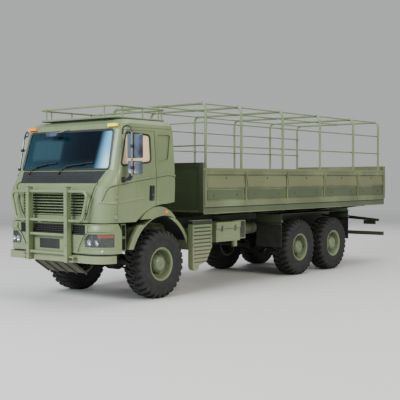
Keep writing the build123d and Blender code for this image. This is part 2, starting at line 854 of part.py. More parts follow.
def windscreen_cut(margin=0.0):
    low, high = windscreen_outline
    outline = ((-low[1], low[0]), (low[1], low[0]), (high[1], high[0]), (-high[1], high[0]))
    solid = front_prism(grown(outline, margin), (0, windscreen_back))
    return fillet(solid.edges().filter_by(Axis.Y), window_corner + margin)


def door_cut(gap):
    # The door's outline through the left wall, smaller all round by `gap`.
    rear = door_rear - (door_rear_gap if gap else 0.0)
    pillar = [(station + gap, height) for station, height in door_pillar[:-1]]
    pillar.append((door_pillar[-1][0] + gap, door_pillar[-1][1] - gap))
    outline = [(door_pillar[0][0] + gap, 0)] + pillar + [(rear, pillar[-1][1]), (rear, 0)]
    return side_prism(outline, (half_body / 2, half_body + 60))


cab_outer = cab_solid(0)
cab_inner = cab_solid(cab_wall, cab_wall, cab_open_depth)
cab_skin = cab_outer - cab_inner - arch_cut()
quarter_floor = common(side_cut(quarter_recess), cab_solid(quarter_recess_depth, quarter_recess_depth, cab_open_depth))
quarter_pocket = side_cut(quarter_recess) - quarter_floor
grille_cut = block((-grille_half, grille_half), (0, front_axle / 2), grille_heights)
glass_outer = cab_solid(glass_inset, glass_inset, cab_open_depth)
glass_inner = cab_solid(glass_inset + glass_thickness, glass_inset + glass_thickness, 2 * cab_open_depth)
glass_skin = glass_outer - glass_inner


def hinge_rod(heights, radius):
    station = door_pillar[0][0]
    return rod((door_hinge_x, station, heights[0]), (door_hinge_x, station, heights[1]), radius)


def hinge_leaf(stations, heights):
    # A flat arm from inside the wall to the hinge's axis.
    return block((cab_row(heights[0])[1] - cab_wall / 2, door_hinge_x + door_hinge_pin), stations, heights)


def shell_hinge(height):
    # Two knuckles and the pin, on a leaf ahead of the door.
    axis = door_pillar[0][0]
    leaf_rear = axis - door_hinge_radius - door_hinge_swing
    parts = [hinge_leaf((leaf_rear - door_hinge_leaf, leaf_rear), (height - door_hinge_half, height + door_hinge_half)),
             hinge_rod((height - door_hinge_half, height + door_hinge_half), door_hinge_pin)]
    low = (height - door_hinge_half, height - door_knuckle_half - fit)
    high = (height + door_knuckle_half + fit, height + door_hinge_half)
    for heights in (low, high):
        parts += [hinge_rod(heights, door_hinge_radius), hinge_leaf((leaf_rear - door_hinge_leaf, axis), heights)]
    return joined(parts)


def door_hinge(height):
    # The door's own knuckle, between the shell's two.
    heights = (height - door_knuckle_half, height + door_knuckle_half)
    axis = door_pillar[0][0]
    leaf = hinge_leaf((axis, axis + door_hinge_leaf), heights)
    return joined([leaf, hinge_rod(heights, door_hinge_radius)]) - hinge_rod(heights, door_hinge_pin + fit)


def cab_shell():
    shell = cab_skin - windscreen_cut() - grille_cut - door_cut(0) - opposite(door_cut(0))
    hinges = [shell_hinge(height) for height in door_hinge_heights]
    shell = shell - quarter_pocket - opposite(quarter_pocket)
    return joined([shell] + hinges + [opposite(hinge) for hinge in hinges])


def door():
    recess_face = half_body - handle_recess
    pocket = side_prism(handle_outline, (recess_face, half_body + handle_recess))
    panel = common(cab_skin, door_cut(panel_gap)) - side_cut(door_window) - pocket
    (start, low), (_, high), (end, _) = handle_outline[:3]
    middle = (start + end) / 2
    grip = block((recess_face, half_body - handle_margin / 2), (middle - handle_grip / 2, middle + handle_grip / 2),
                 (low + handle_margin, high - handle_margin))
    return joined([panel, grip] + [door_hinge(height) for height in door_hinge_heights])


def door_glass():
    return common(glass_skin, side_cut(door_window, -fit))


save("cab_shell", cab_shell())
save("windscreen", common(glass_skin, windscreen_cut(-fit)))
door_left = door()
save("door_left", door_left)
save("door_right", opposite(door_left))
save("door_glass_left", door_glass())
save("door_glass_right", opposite(door_glass()))
floor_half = cab_sections[0][2] - cab_wall - panel_gap
floor_slab = block((-floor_half, floor_half), (cab_floor_front, cab_rear), (cab_floor_bottom, cab_floor_top))
save("cab_floor", common(cab_solid(cab_wall + fit, cab_wall, cab_open_depth), floor_slab))


def grille():
    x = (-grille_half + fit, grille_half - fit)
    heights = (grille_heights[0] + fit, grille_heights[1] - fit)
    front = cab_sections[1][1] + grille_set_back
    stations = (front, front + grille_depth)
    inner = block((x[0] + grille_frame, x[1] - grille_frame), stations,
                  (heights[0] + grille_frame, heights[1] - grille_frame))
    parts = [block(x, stations, heights) - inner]
    clear = heights[1] - heights[0] - 2 * grille_frame
    pitch = clear / grille_slats
    for index in range(grille_slats):
        middle = heights[0] + grille_frame + (index + 0.5) * pitch
        near, far = front + grille_slat_inset, front + grille_depth - grille_slat_inset
        profile = ((near, middle - pitch * (grille_slat_share - grille_slat_lean)), (near, middle + pitch * grille_slat_lean),
                   (far, middle + pitch * grille_slat_share), (far, middle))
        parts.append(side_prism(profile, (x[0] + grille_frame / 2, x[1] - grille_frame / 2)))
    return joined(parts)


save("grille", grille())


# --- Cab inside ---

def steering_wheel():
    centre = Pos(steering_wheel_x, along(steering_wheel_centre[0]), steering_wheel_centre[1])
    tilt = Rot(-steering_wheel_tilt, 0, 0)
    ring = centre * tilt * Torus(steering_wheel_radius, steering_wheel_rim)
    boss = centre * tilt * Cylinder(45, 40)
    spoke = centre * tilt * Box(2 * steering_wheel_radius, 36, 14)
    column = centre * tilt * Pos(0, 0, -100) * Cylinder(28, 200)
    return joined([ring, boss, spoke, column])


dash = side_prism(dash_profile, (-dash_half, dash_half))
save("dashboard", dash + steering_wheel())


def seat(x):
    body = side_prism(seat_profile, (x - seat_width / 2, x + seat_width / 2))
    return fillet(body.edges().filter_by(Axis.X).group_by(Axis.Z)[-1], 30)


save("seats", *[seat(x) for x in seat_x])


# --- Front end ---

def wrapped_bar(front, rear, half, corner, wall, heights):
    # A bar that runs across the nose and back round both corners.
    def plan(inset):
        depth = 2 * (rear - front)
        shape = Rectangle(2 * (half - inset), depth - 2 * inset)
        shape = fillet(shape.vertices().group_by(Axis.Y)[0], corner - inset)
        return Pos(0, along(rear), heights[0]) * shape
    tall = heights[1] - heights[0]
    ring = extrude(plan(0), tall) - extrude(plan(wall), tall)
    return common(ring, block((-half, half), (front, rear), heights))


def lamp_window(margin):
    x = (lamp_x[0] + margin, lamp_x[1] - margin)
    heights = (lamp_heights[0] + margin, lamp_heights[1] - margin)
    outline = ((x[0] + lamp_slant, heights[0]), (x[0], heights[1]), (x[1], heights[1]), (x[1], heights[0]))
    return front_prism(outline, (0, bumper_rear))


bumper_ring = wrapped_bar(bumper_front, bumper_rear, bumper_half, bumper_corner, bumper_wall, bumper_heights)


def front_bumper():
    length, height = bumper_end_cut
    end_cut = side_prism(((bumper_rear - length, bumper_heights[1]), (bumper_rear, bumper_heights[1]),
                          (bumper_rear, bumper_heights[1] - height)), (-half_body, half_body))
    intake = block((-intake_half, intake_half), (bumper_front, bumper_front + intake_depth), intake_heights)
    body = bumper_ring - lamp_window(0) - opposite(lamp_window(0)) - intake
    return body - end_cut


headlamp = common(bumper_ring, lamp_window(fit))
save("front_bumper", front_bumper())
save("headlamps", *both(headlamp))
lower_bar = wrapped_bar(lower_bar_front, lower_bar_rear, bumper_half, lower_bar_corner, lower_bar_wall,
                        lower_bar_heights)
bar_middle = sum(lower_bar_heights) / 2


def tow_eye(x):
    # Two level cheeks that take an upright pin.
    cheek = (tow_eye_gap / 2, tow_eye_gap / 2 + tow_eye_cheek)
    stations = (lower_bar_front - tow_eye_reach, lower_bar_front)
    pair = []
    for side in (-1, 1):
        heights = sorted((bar_middle + side * cheek[0], bar_middle + side * cheek[1]))
        pair.append(block((x - tow_eye_half, x + tow_eye_half), stations, heights))
    bore_station = stations[0] + tow_eye_half
    bore = rod((x, bore_station, bar_middle - cheek[1]), (x, bore_station, bar_middle + cheek[1]), tow_eye_bore)
    return joined(pair) - bore


save("lower_bumper", joined([lower_bar] + [tow_eye(x) for x in (-tow_eye_x, tow_eye_x)]))
save("number_plate", block(plate_x, (bumper_front - plate_thickness, bumper_front), plate_heights))


def bent_tube(points, bends, radius):
    # A tube along straight runs between points given as (x, station, height), joined by arcs.
    path = FilletPolyline(*[(x, along(station), height) for x, station, height in points], radius=bends)
    wire = path.wire() if hasattr(path, "wire") else path
    first = Plane(wire @ 0, z_dir=wire % 0)
    return sweep(first * Circle(radius), path=wire)


def guard_loop_tube():
    # A closed loop of tube that leans outwards to the top.
    low, high = guard_loop
    station = guard_upright[1] / 2
    points = [(0, station, low[1]), (low[0], station, low[1]), (high[0], station, high[1]), (0, station, high[1])]
    half = bent_tube(points, guard_loop_corner, guard_tube)
    return half + opposite(half)


def brush_guard():
    upright_x = (guard_upright_x - guard_upright[0] / 2, guard_upright_x + guard_upright[0] / 2)
    upright = block(upright_x, (0, guard_upright[1]), guard_heights)
    parts = both(upright) + [guard_loop_tube()]
    station = guard_upright[1] / 2
    for height in guard_bars:
        parts.append(rod((-guard_upright_x, station, height), (guard_upright_x, station, height), guard_tube))
    return joined(parts)


save("brush_guard", brush_guard())


def skid_plate():
    plate = side_prism(skid_profile, (-skid_half, skid_half))
    parts = [plate]
    (s0, z0), (s1, z1) = skid_profile[4], skid_profile[2]
    for index in range(skid_ribs):
        x = -skid_half + skid_rib[0] / 2 + index * (2 * skid_half - skid_rib[0]) / (skid_ribs - 1)
        outline = ((s0, z0 - skid_rib_start), (s0, z0 - skid_rib_start - skid_rib[1]), (s1, z1 - skid_rib[1]),
                   (s1, z1 + skid_rib_lap))
        parts.append(side_prism(outline, (x - skid_rib[0] / 2, x + skid_rib[0] / 2)))
    return joined(parts)


save("skid_plate", skid_plate())


# --- Fenders, steps ---

def fender_ring(inner, outer, x, centre=fender_centre):
    base = fender_centre
    ring = rod((x[0], centre[0], centre[1]), (x[1], centre[0], centre[1]), outer)
    return ring - rod((x[0] - 1, base[0], base[1]), (x[1] + 1, base[0], base[1]), inner)


def fender():
    inner = fender_inner
    sheet = inner + fender_sheet
    far = inner + fender_reach
    centre, base = fender_centre
    front_half = block((0, half_body), (0, centre), (fender_front_height, base + far))
    rear_half = block((0, half_body), (centre, centre + far), (fender_rear_height, base + far))
    front_sheet = common(fender_ring(inner, sheet, (fender_inner_x, fender_outer_x)), front_half)
    rear_sheet = common(fender_ring(inner, sheet, (fender_inner_x, fender_rear_outer_x)), rear_half)
    lip_x = (fender_outer_x - fender_lip, fender_outer_x)
    arch_lip = fender_ring(inner, arch_lip_radius, lip_x, arch_lip_centre)
    arch_lip = common(arch_lip, block((0, half_body), (0, overall_length), (arch_lip_bottom, base + far)))
    flare = fender_ring(inner, inner + flare_depth, lip_x)
    flare = common(flare, block((0, half_body), (0, centre), (fender_front_height, flare_top)))
    rise = rail_top + fender_beam / 2 - base
    reach = math.sqrt((inner + fender_sheet / 2) ** 2 - rise ** 2)
    beams = []
    for side in (-1, 1):
        station = centre + side * reach
        beams.append(block((rail_outer - rail_flange, fender_inner_x + fender_beam_lap), (station - fender_beam / 2,
                                                                             station + fender_beam / 2),
                           (rail_top, rail_top + fender_beam)))
    cover = block((fender_inner_x, fender_rear_outer_x + fender_lip), (centre - 1, centre + 1), (base + inner,
                                                                                              base + sheet))
    return joined([front_sheet, rear_sheet, arch_lip, flare, cover] + beams)


save("front_fenders", *both(fender()))


def cab_step():
    stations = (bumper_rear, bumper_rear + step_length)
    body = block(step_x, stations, step_heights)
    pitch = (step_heights[1] - step_heights[0]) / step_count
    for index in range(step_count):
        low = step_heights[0] + (index + 0.5) * pitch - step_pocket[0] / 2
        body = body - block((step_x[1] - step_pocket[1], step_x[1] + 1),
                            (stations[0] + step_frame, stations[1] - step_frame), (low, low + step_pocket[0]))
    return body


save("cab_steps", *both(cab_step()))


# --- Roof rack and lamps ---

def rack_rail(height):
    # A level loop of tube with round corners.
    points = [(0, rack_front, height), (rack_half, rack_front, height), (rack_half, rack_rear, height),
              (0, rack_rear, height)]
    half = bent_tube(points, rack_corner, rack_tube)
    return half + opposite(half)


def roof_rack():
    parts = [rack_rail(height) for height in rack_heights]
    posts = [(side * rack_half, station) for station in rack_posts for side in (-1, 1)]
    posts += [(x, station) for x in rack_end_posts for station in (rack_front, rack_rear)]
    for x, station in posts:
        parts.append(rod((x, station, rack_heights[0]), (x, station, rack_heights[1]), rack_post))
    roof = cab_sections[-1][0]
    for station in rack_feet:
        for x in (-rack_half, rack_half):
            parts.append(rod((x, station, roof), (x, station, rack_heights[0]), rack_post))
    pitch = 2 * rack_half / (rack_slats + 1)
    for index in range(rack_slats):
        x = -rack_half + (index + 1) * pitch
        parts.append(block((x - rack_slat[0] / 2, x + rack_slat[0] / 2), (rack_front, rack_rear),
                           (rack_heights[0] - rack_slat[1] / 2, rack_heights[0] + rack_slat[1] / 2)))
    return joined(parts)


save("roof_rack", roof_rack())


def roof_marker():
    face = cab_row(roof_marker_heights[0])[0]
    lamp = block(roof_marker_x, (face - roof_marker_proud, face + roof_marker_proud), roof_marker_heights)
    return lamp - cab_outer


def fender_marker():
    stations, heights, proud = side_marker
    return block((fender_outer_x, fender_outer_x + proud), stations, heights)


save("marker_lamps", *both(roof_marker()), *both(fender_marker()))


def wiper(pivot_x):
    # An arm and its blade lie just clear of the glass, on a pivot in the cowl.
    def on_glass(x, height, proud):
        return (x, cab_row(height)[0] - proud, height)

    run = wiper_length * math.cos(math.radians(wiper_angle))
    rise = wiper_length * math.sin(math.radians(wiper_angle))
    tip_x = pivot_x + run
    tip_height = wiper_base + rise
    hub = rod(on_glass(pivot_x, wiper_base, wiper_proud + wiper_hub), on_glass(pivot_x, wiper_base, 0), wiper_hub)
    arm = rod(on_glass(pivot_x, wiper_base, wiper_proud), on_glass(tip_x, tip_height, wiper_proud), wiper_arm)
    reach = wiper_blade / 2
    ends = [on_glass(tip_x + side * reach * run / wiper_length, tip_height + side * reach * rise / wiper_length,
                     wiper_proud - wiper_arm) for side in (-1, 1)]
    return joined([hub, arm, rod(*ends, wiper_arm)]) - cab_outer


save("wipers", *[wiper(x) for x in wiper_pivots])


# --- Mirrors ---

def mirror_set(outer, set_back, top_station):
    # A tube arm on the door carries both heads, and each head hangs on a stub of thinner tube.
    (low_station, low), (high_station, high) = mirror_feet
    faces = [cab_row(height - mirror_foot_radius)[1] + fit for height in (low, high)]
    path = [(faces[0] + mirror_foot / 2, low_station, low), (outer, low_station, low), (outer, top_station, high),
            (faces[1] + mirror_foot, high_station, high)]
    parts = [bent_tube(path, mirror_arm_bend, mirror_arm_radius)]
    for face, (station, height) in zip(faces, mirror_feet):
        parts.append(rod((face, station, height), (face + mirror_foot, station, height), mirror_foot_radius))
    for x, (near, far), heights in mirror_heads:
        stations = (near + set_back, far + set_back)
        head = fillet(block(x, stations, heights).edges().filter_by(Axis.Y), mirror_head_corner)
        middle = sum(heights) / 2
        share = (middle - low) / (high - low)
        start = low_station + share * (top_station - low_station)
        stub = rod((outer, start, middle), (mirror_arm_x, sum(stations) / 2, middle), mirror_stub_radius)
        parts += [head, stub]
    return joined(parts)


def front_mirror():
    # A short arm on the header carries a mirror that looks down at the nose.
    x, stations, heights = front_mirror_head
    head = fillet(block(x, stations, heights).edges().filter_by(Axis.Y), front_mirror_corner)
    foot_x, foot_height = front_mirror_foot
    foot_station = cab_row(foot_height)[0]
    arm = rod((sum(x) / 2, sum(stations) / 2, sum(heights) / 2), (foot_x, foot_station, foot_height), front_mirror_arm)
    return joined([head, arm]) - cab_outer


save("mirrors_left", mirror_set(mirror_arm_x, 0, mirror_feet[0][0]))
save("mirrors_right", opposite(mirror_set(swung_arm_x, swung_back, mirror_feet[1][0])))
save("front_mirror", front_mirror())


# --- Bed ---

bow_x = bed_side_inner - fit - bow_radius
bow_axis = bow_top - bow_radius
bed_rear = overall_length - tailgate_thickness - tailgate_swing_gap
sides_front = bed_front + headboard_thickness


def bed_side():
    floor = bed_floor_heights[1]
    face = half_body
    foot, board_foot = (floor + height for height in bed_board_foot)
    head = bed_side_top - bed_board_head
    outline = ((bed_side_inner, floor), (face, floor), (face, foot), (face - bed_board_lip, foot + bed_board_edge),
               (face - bed_board_lip, board_foot), (face - bed_board_slope[0], board_foot + bed_board_edge),
               (face - bed_board_slope[1], head), (face, head + bed_board_rise), (face, bed_side_top),
               (bed_side_inner, bed_side_top))
    parts = [front_prism(outline, (sides_front, bed_rear))]
    posts = [(station - bed_post / 2, station + bed_post / 2) for station in bed_post_stations]
    posts += [(sides_front, sides_front + bed_post), (bed_rear - bed_post, bed_rear)]
    for stations in posts:
        parts.append(block((bed_side_inner, face), stations, (floor, bed_side_top)))
    return joined(parts)


def panelled(x, stations, heights, panels, outer_face):
    # A framed board whose outer face has recessed panels side by side.
    body = block(x, stations, heights)
    width = (x[1] - x[0] - panel_border * (panels + 1)) / panels
    depth = (outer_face, outer_face + panel_recess) if outer_face == stations[0] else (outer_face - panel_recess,
                                                                                      outer_face)
    for index in range(panels):
        left = x[0] + panel_border + index * (width + panel_border)
        body = body - block((left, left + width), depth, (heights[0] + panel_border, heights[1] - panel_border))
    return body


def tailgate():
    stations = (overall_length - tailgate_thickness, overall_length)
    bottom = hinge_height + tailgate_clearance
    parts = [panelled((-half_body, half_body), stations, (bottom, tailgate_top), 4, stations[1])]
    for x in hinge_positions:
        half = hinge_lug / 2
        parts.append(block((x - half, x + half), (hinge_station - hinge_knuckle, hinge_station + hinge_knuckle),
                           (hinge_height, bottom + 1)))
        parts.append(rod((x - half, hinge_station, hinge_height), (x + half, hinge_station, hinge_height),
                         hinge_knuckle))
        pin = half + hinge_pin_reach
        parts.append(rod((x - pin, hinge_station, hinge_height), (x + pin, hinge_station, hinge_height), hinge_pin))
    return joined(parts)


def hinge_lugs():
    lugs = []
    for x in hinge_positions:
        for side in (-1, 1):
            near = hinge_lug / 2 + panel_gap
            ends = sorted((x + side * near, x + side * (hinge_lug / 2 + hinge_pin_reach)))
            arm = block(ends, (bed_rear, hinge_station), (hinge_height - hinge_knuckle, hinge_height + hinge_knuckle))
            knuckle_end = rod((ends[0], hinge_station, hinge_height), (ends[1], hinge_station, hinge_height),
                              hinge_knuckle)
            hole = rod((ends[0] - 1, hinge_station, hinge_height), (ends[1] + 1, hinge_station, hinge_height),
                       hinge_pin + fit)
            lugs.append(arm + knuckle_end - hole)
    return lugs


def bed_rails():
    rail = block((bed_side_inner, half_body), (sides_front, bed_rear), (bed_rail_bottom, bed_floor_heights[1]))
    rear = block((-bed_side_inner, bed_side_inner), (bed_rear - bed_rear_rail, bed_rear),
                 (bed_rail_bottom, bed_floor_heights[0]))
    return both(rail) + [joined([rear] + hinge_lugs())]


def bearer(station):
    tip = bed_side_inner
    top = bed_floor_heights[0]
    outline = ((-tip, bearer_tip), (-tip, top), (tip, top), (tip, bearer_tip), (bearer_taper_x, bearer_bottom),
               (-bearer_taper_x, bearer_bottom))
    return front_prism(outline, (station - bearer_width / 2, station + bearer_width / 2))


def bed_floor():
    # The bows stand in open pockets along both edges.
    floor = block((-bed_side_inner, bed_side_inner), (sides_front, bed_rear), bed_floor_heights)
    inner = bow_x - bow_radius - bow_pocket[0]
    for station in bow_stations:
        pocket = block((inner, half_body), (station - bow_pocket[1] / 2, station + bow_pocket[1] / 2), bed_floor_heights)
        floor = floor - pocket - opposite(pocket)
    return floor


save("bed_floor", bed_floor())
save("bed_sides", *both(bed_side()))
save("headboard", panelled((-half_body, half_body), (bed_front, sides_front), headboard_heights, 3, bed_front))
save("tailgate", tailgate())
subframe = block((rail_outer - rail_flange, rail_outer), (sides_front, subframe_rear), (rail_top, bearer_bottom))
save("bed_frame", *bed_rails(), *[bearer(station) for station in bearer_stations], *both(subframe))


# --- Tilt frame ---

def bow(station):
    foot = bed_floor_heights[0]
    points = [(-bow_x, station, foot), (-bow_x, station, bow_axis), (bow_x, station, bow_axis), (bow_x, station, foot)]
    return bent_tube(points, bow_bend, bow_radius)


def tilt_bows():
    bows = [bow(station) for station in bow_stations]
    first = bow_stations[0]
    bars = [rod((-bow_x, first, height), (bow_x, first, height), stringer_radius) for height in stringer_heights]
    return [joined([bows[0]] + bars)] + bows[1:]


def tilt_rails():
    rails = []
    for start, end in zip(bow_stations[:-1], bow_stations[1:]):
        for x in roof_rail_x:
            rails.append(rod((x, start + bow_radius + fit, bow_axis), (x, end - bow_radius - fit, bow_axis),
                             stringer_radius))
    side_x = bow_x - bow_radius - fit - stringer_radius
    ahead = bow_stations[0] + stringer_radius + fit
    for height in stringer_heights:
        side = rod((side_x, ahead, height), (side_x, bow_stations[-1] + bow_radius, height), stringer_radius)
        rails += both(side)
    return rails


save("tilt_bows", *tilt_bows())
save("tilt_rails", *tilt_rails())


# --- Side equipment ---

def carriers(x, stations):
    # Beams from the frame rail's web out to a box at x.
    return [block((rail_outer, x + 1), (station - carrier / 2, station + carrier / 2),
                  (carrier_bottom, carrier_bottom + carrier)) for station in stations]


def ribbed_guard():
    plate = side_prism(ribbed_guard_outline, ribbed_guard_x)
    tip_station, tip_bottom = ribbed_guard_tip
    tip = rod((ribbed_guard_x[0], tip_station, tip_bottom + ribbed_guard_tip_radius),
              (ribbed_guard_x[1], tip_station, tip_bottom + ribbed_guard_tip_radius), ribbed_guard_tip_radius)
    front = ribbed_guard_outline[0][0]
    base = ribbed_guard_outline[-1][1] + 1
    chin = side_prism(((front, base), (front, tip_bottom + ribbed_guard_tip_radius),
                       (tip_station + ribbed_guard_tip_radius, tip_bottom + ribbed_guard_tip_radius),
                       (ribbed_guard_outline[3][0] - ribbed_guard_chin, base)), ribbed_guard_x)
    body = joined([plate, tip, chin])
    bottom = tip_bottom + guard_rib_pitch
    top = ribbed_guard_outline[0][1]
    count = int((top - bottom) / guard_rib_pitch)
    for index in range(count):
        low = bottom + index * guard_rib_pitch
        body = body - block((ribbed_guard_x[1] - guard_rib[1], ribbed_guard_x[1] + 1),
                            (front + guard_rib_end, ribbed_guard_outline[1][0] - guard_rib_end),
                            (low, low + guard_rib[0]))
    return joined([body] + carriers(ribbed_guard_x[0], ribbed_guard_carriers))


def tool_box():
    low, high = tool_box_heights
    lid = block(tool_box_x, tool_box_stations, (high - tool_box_lid, high))
    body = block((tool_box_x[0], tool_box_x[1] - tool_box_lip), (tool_box_stations[0], tool_box_stations[1] - tool_box_lip),
                 (low, high - tool_box_lid))
    dryer_x = tool_box_x[1] - tool_box_lip - dryer_radius
    dryer = rod((dryer_x, dryer_station, low - dryer_height), (dryer_x, dryer_station, low + 1), dryer_radius)
    return joined([lid, body, dryer] + carriers(tool_box_x[0], tool_box_carriers))


def side_box():
    body = block(side_box_x, side_box_stations, tool_box_heights)
    return joined([body] + carriers(side_box_x[0], (sum(side_box_stations) / 2,)))


def fuel_tank():
    tank = block(fuel_tank_x, fuel_tank_stations, fuel_tank_heights)
    tank = fillet(tank.edges().filter_by(Axis.Y), fuel_tank_corner)
    stations = (fuel_tank_stations[0] + fuel_tank_strap, fuel_tank_stations[1] - fuel_tank_strap)
    return joined([tank] + carriers(fuel_tank_x[0], stations))


def air_tank():
    start, end = air_tank_stations
    tank = rod((air_tank_x, start, air_tank_height), (air_tank_x, end, air_tank_height), air_tank_radius)
    stations = (start + air_tank_strap, end - air_tank_strap)
    return joined([tank] + carriers(air_tank_x - air_tank_radius + air_tank_lap, stations))


save("ribbed_guards", *both(ribbed_guard()))
save("side_boxes", tool_box(), side_box())
save("tanks", opposite(fuel_tank()), *both(air_tank()))


# --- Mudflaps over the bogie ---

def flap(x, station):
    return block(x, (station, station + flap_thickness), flap_heights)


def flap_mount(x, station, beam_height):
    plate = block(x, (station, station + flap_plate), (flap_heights[1], flap_plate_top))
    beam = block((rail_outer, x[1]), (station + flap_plate, station + flap_plate + carrier),
                 (beam_height, beam_height + carrier))
    return [plate, beam]


def bogie_guard():
    # The sheet over both wheels and the plates and beams at its ends, on the left.
    sheet_bottom = flap_plate_top - bogie_guard_sheet
    beam_height = flap_heights[1]
    parts = [block(bogie_guard_x, (flap_stations[0], flap_stations[1] + flap_plate), (sheet_bottom, flap_plate_top))]
    for x, station in zip(flap_x, flap_stations):
        parts += flap_mount(x, station, beam_height)
    return joined(parts)


flap_shapes = []
for flap_span, flap_station in zip(flap_x, flap_stations):
    flap_shapes += both(flap(flap_span, flap_station))
save("mudflaps", *flap_shapes)
save("bogie_guards", *both(bogie_guard()))


# --- Rear end ---

def light_bar():
    bar = front_prism(light_bar_outline, (light_bar_station, light_bar_station + light_bar_depth))
    arms = [block((side * rear_arm_x - rear_arm_width / 2, side * rear_arm_x + rear_arm_width / 2),
                  (rail_rear + rear_beam, light_bar_station + 1), light_bar_arm) for side in (-1, 1)]
    return joined([bar] + arms)


def underride_guard():
    bar = block((-underride_half, underride_half), underride_stations, underride_heights)
    start = rail_rear + rear_beam
    outline = ((start, rail_bottom), (start, rail_bottom + underride_arm), (underride_stations[0] + 1, underride_heights[1]),
               (underride_stations[0] + 1, underride_heights[0]))
    arms = [side_prism(outline, (side * rear_arm_x - rear_arm_width / 2, side * rear_arm_x + rear_arm_width / 2))
            for side in (-1, 1)]
    return joined([bar] + arms)


def tow_hitch():
    start = rail_rear + rear_beam
    bottom = rail_bottom + hitch_rise
    body = block((-hitch_size / 2, hitch_size / 2), (start, start + hitch_reach), (bottom, bottom + hitch_size))
    bore_station = start + hitch_reach - hitch_size / 2
    return body - rod((0, bore_station, rail_bottom), (0, bore_station, rail_top), hitch_bore)


tail_lamp = block(tail_lamp_x, (light_bar_station + light_bar_depth, light_bar_station + light_bar_depth
                                + tail_lamp_depth), tail_lamp_heights)
save("rear_guard", light_bar(), underride_guard())
save("tail_lamps", *both(tail_lamp))
save("tow_hitch", tow_hitch())
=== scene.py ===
import bpy
import bmesh
import math
import numpy as np
from mathutils import Matrix, Vector


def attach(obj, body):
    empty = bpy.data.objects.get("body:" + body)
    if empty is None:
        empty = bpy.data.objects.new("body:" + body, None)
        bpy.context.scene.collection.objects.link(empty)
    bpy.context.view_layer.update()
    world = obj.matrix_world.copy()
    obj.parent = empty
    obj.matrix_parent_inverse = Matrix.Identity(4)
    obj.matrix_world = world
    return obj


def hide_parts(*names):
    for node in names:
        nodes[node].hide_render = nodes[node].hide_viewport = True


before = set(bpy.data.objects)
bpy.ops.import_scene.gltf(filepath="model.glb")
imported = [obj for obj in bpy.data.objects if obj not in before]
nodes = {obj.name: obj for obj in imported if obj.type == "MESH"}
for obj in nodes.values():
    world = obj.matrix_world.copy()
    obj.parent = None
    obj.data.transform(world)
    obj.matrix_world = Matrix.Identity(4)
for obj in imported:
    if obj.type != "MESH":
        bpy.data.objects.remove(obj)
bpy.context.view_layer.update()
noseY = -4.9  # the truck's nose; every place below is (x, distance behind the nose, height) in metres
print("frame loaded with", len(nodes), "nodes")


# each shape is (points, quads, caps), and a piece is made of a list of them

def surface(points, capped=True):
    # a grid of points (rows, ring, 3) as a skin of closed rings; `capped` fills the first and the last ring
    rows, ring = points.shape[:2]
    row, step = np.meshgrid(np.arange(rows - 1), np.arange(ring), indexing="ij")
    start, after = row * ring, (step + 1) % ring
    quads = np.stack([start + step, start + after, start + ring + after, start + ring + step], axis=-1)
    caps = [np.arange(ring)[::-1], (rows - 1) * ring + np.arange(ring)] if capped else []
    return points.reshape(-1, 3), quads.reshape(-1, 4), caps


def turned(profile, count=48, centre=(0, 0, 0)):
    # a profile of (x, radius) turned about the x axis: point = (x, radius*cos(angle), radius*sin(angle))
    profile = np.array(profile, float)
    angle = np.arange(count) / count * 2 * np.pi
    x = np.repeat(profile[:, :1], count, axis=1)
    points = np.stack([x, profile[:, 1:] * np.cos(angle), profile[:, 1:] * np.sin(angle)], axis=-1)
    return surface(points + np.array(centre), False)


def crossways(path, normal):
    # two directions across a path at each point: one square to `normal`, one nearest to it
    ahead = np.gradient(path, axis=0)
    ahead /= np.linalg.norm(ahead, axis=1, keepdims=True)
    side = np.cross(ahead, np.asarray(normal, float))
    side /= np.linalg.norm(side, axis=1, keepdims=True)
    return side, np.cross(side, ahead)


def carried(path, profile, normal=(0, 0, 1), closed=False):
    # a closed profile of (out, up) carried along a path: point = path + out*side + up*normal
    path, profile = np.asarray(path, float), np.asarray(profile, float)
    if closed:
        side, up = (part[1:-1] for part in crossways(np.vstack([path[-1:], path, path[:1]]), normal))
    else:
        side, up = crossways(path, normal)
    points = path[:, None] + profile[None, :, :1] * side[:, None] + profile[None, :, 1:] * up[:, None]
    if closed:
        points = np.concatenate([points, points[:1]])
    return surface(points, not closed)


def circle(radius, sides=10):
    angle = np.arange(sides) / sides * 2 * np.pi
    return np.stack([np.cos(angle), np.sin(angle)], axis=-1) * radius


def pipe(path, radius, normal=(0, 0, 1), sides=10):
    return carried(path, circle(radius, sides), normal)


def rod(start, end, radius, sides=12):
    # a straight round bar between two places
    start, end = np.array(start, float), np.array(end, float)
    along = (end - start) / np.linalg.norm(end - start)
    normal = (1, 0, 0) if abs(along[0]) < 0.8 else (0, 0, 1)
    return pipe(np.array([start, (start + end) / 2, end]), radius, normal, sides)


def stub(centre, axis, half, radius, sides=12):
    # a round bar along the axis x, s or z, `half` to each side of its centre
    step = np.array([half if letter == axis else 0.0 for letter in "xsz"])
    return rod(centre - step, centre + step, radius, sides)


def softPath(corners, radius, steps=6, closed=False):
    # straight runs with each corner replaced by a quadratic curve that starts and ends `radius` from it
    corners = [np.array(corner, float) for corner in corners]
    count = len(corners)
    t = np.linspace(0, 1, steps + 1)[:, None]
    run = []
    for index, corner in enumerate(corners):
        if not closed and index in (0, count - 1):
            run.append(corner[None])
            continue
        ends = []
        for other in (corners[index - 1], corners[(index + 1) % count]):
            length = np.linalg.norm(other - corner)
            ends.append(corner + (other - corner) / length * min(radius, length * 0.48))
        run.append((1 - t) ** 2 * ends[0] + 2 * t * (1 - t) * corner + t ** 2 * ends[1])
    return np.vstack(run)


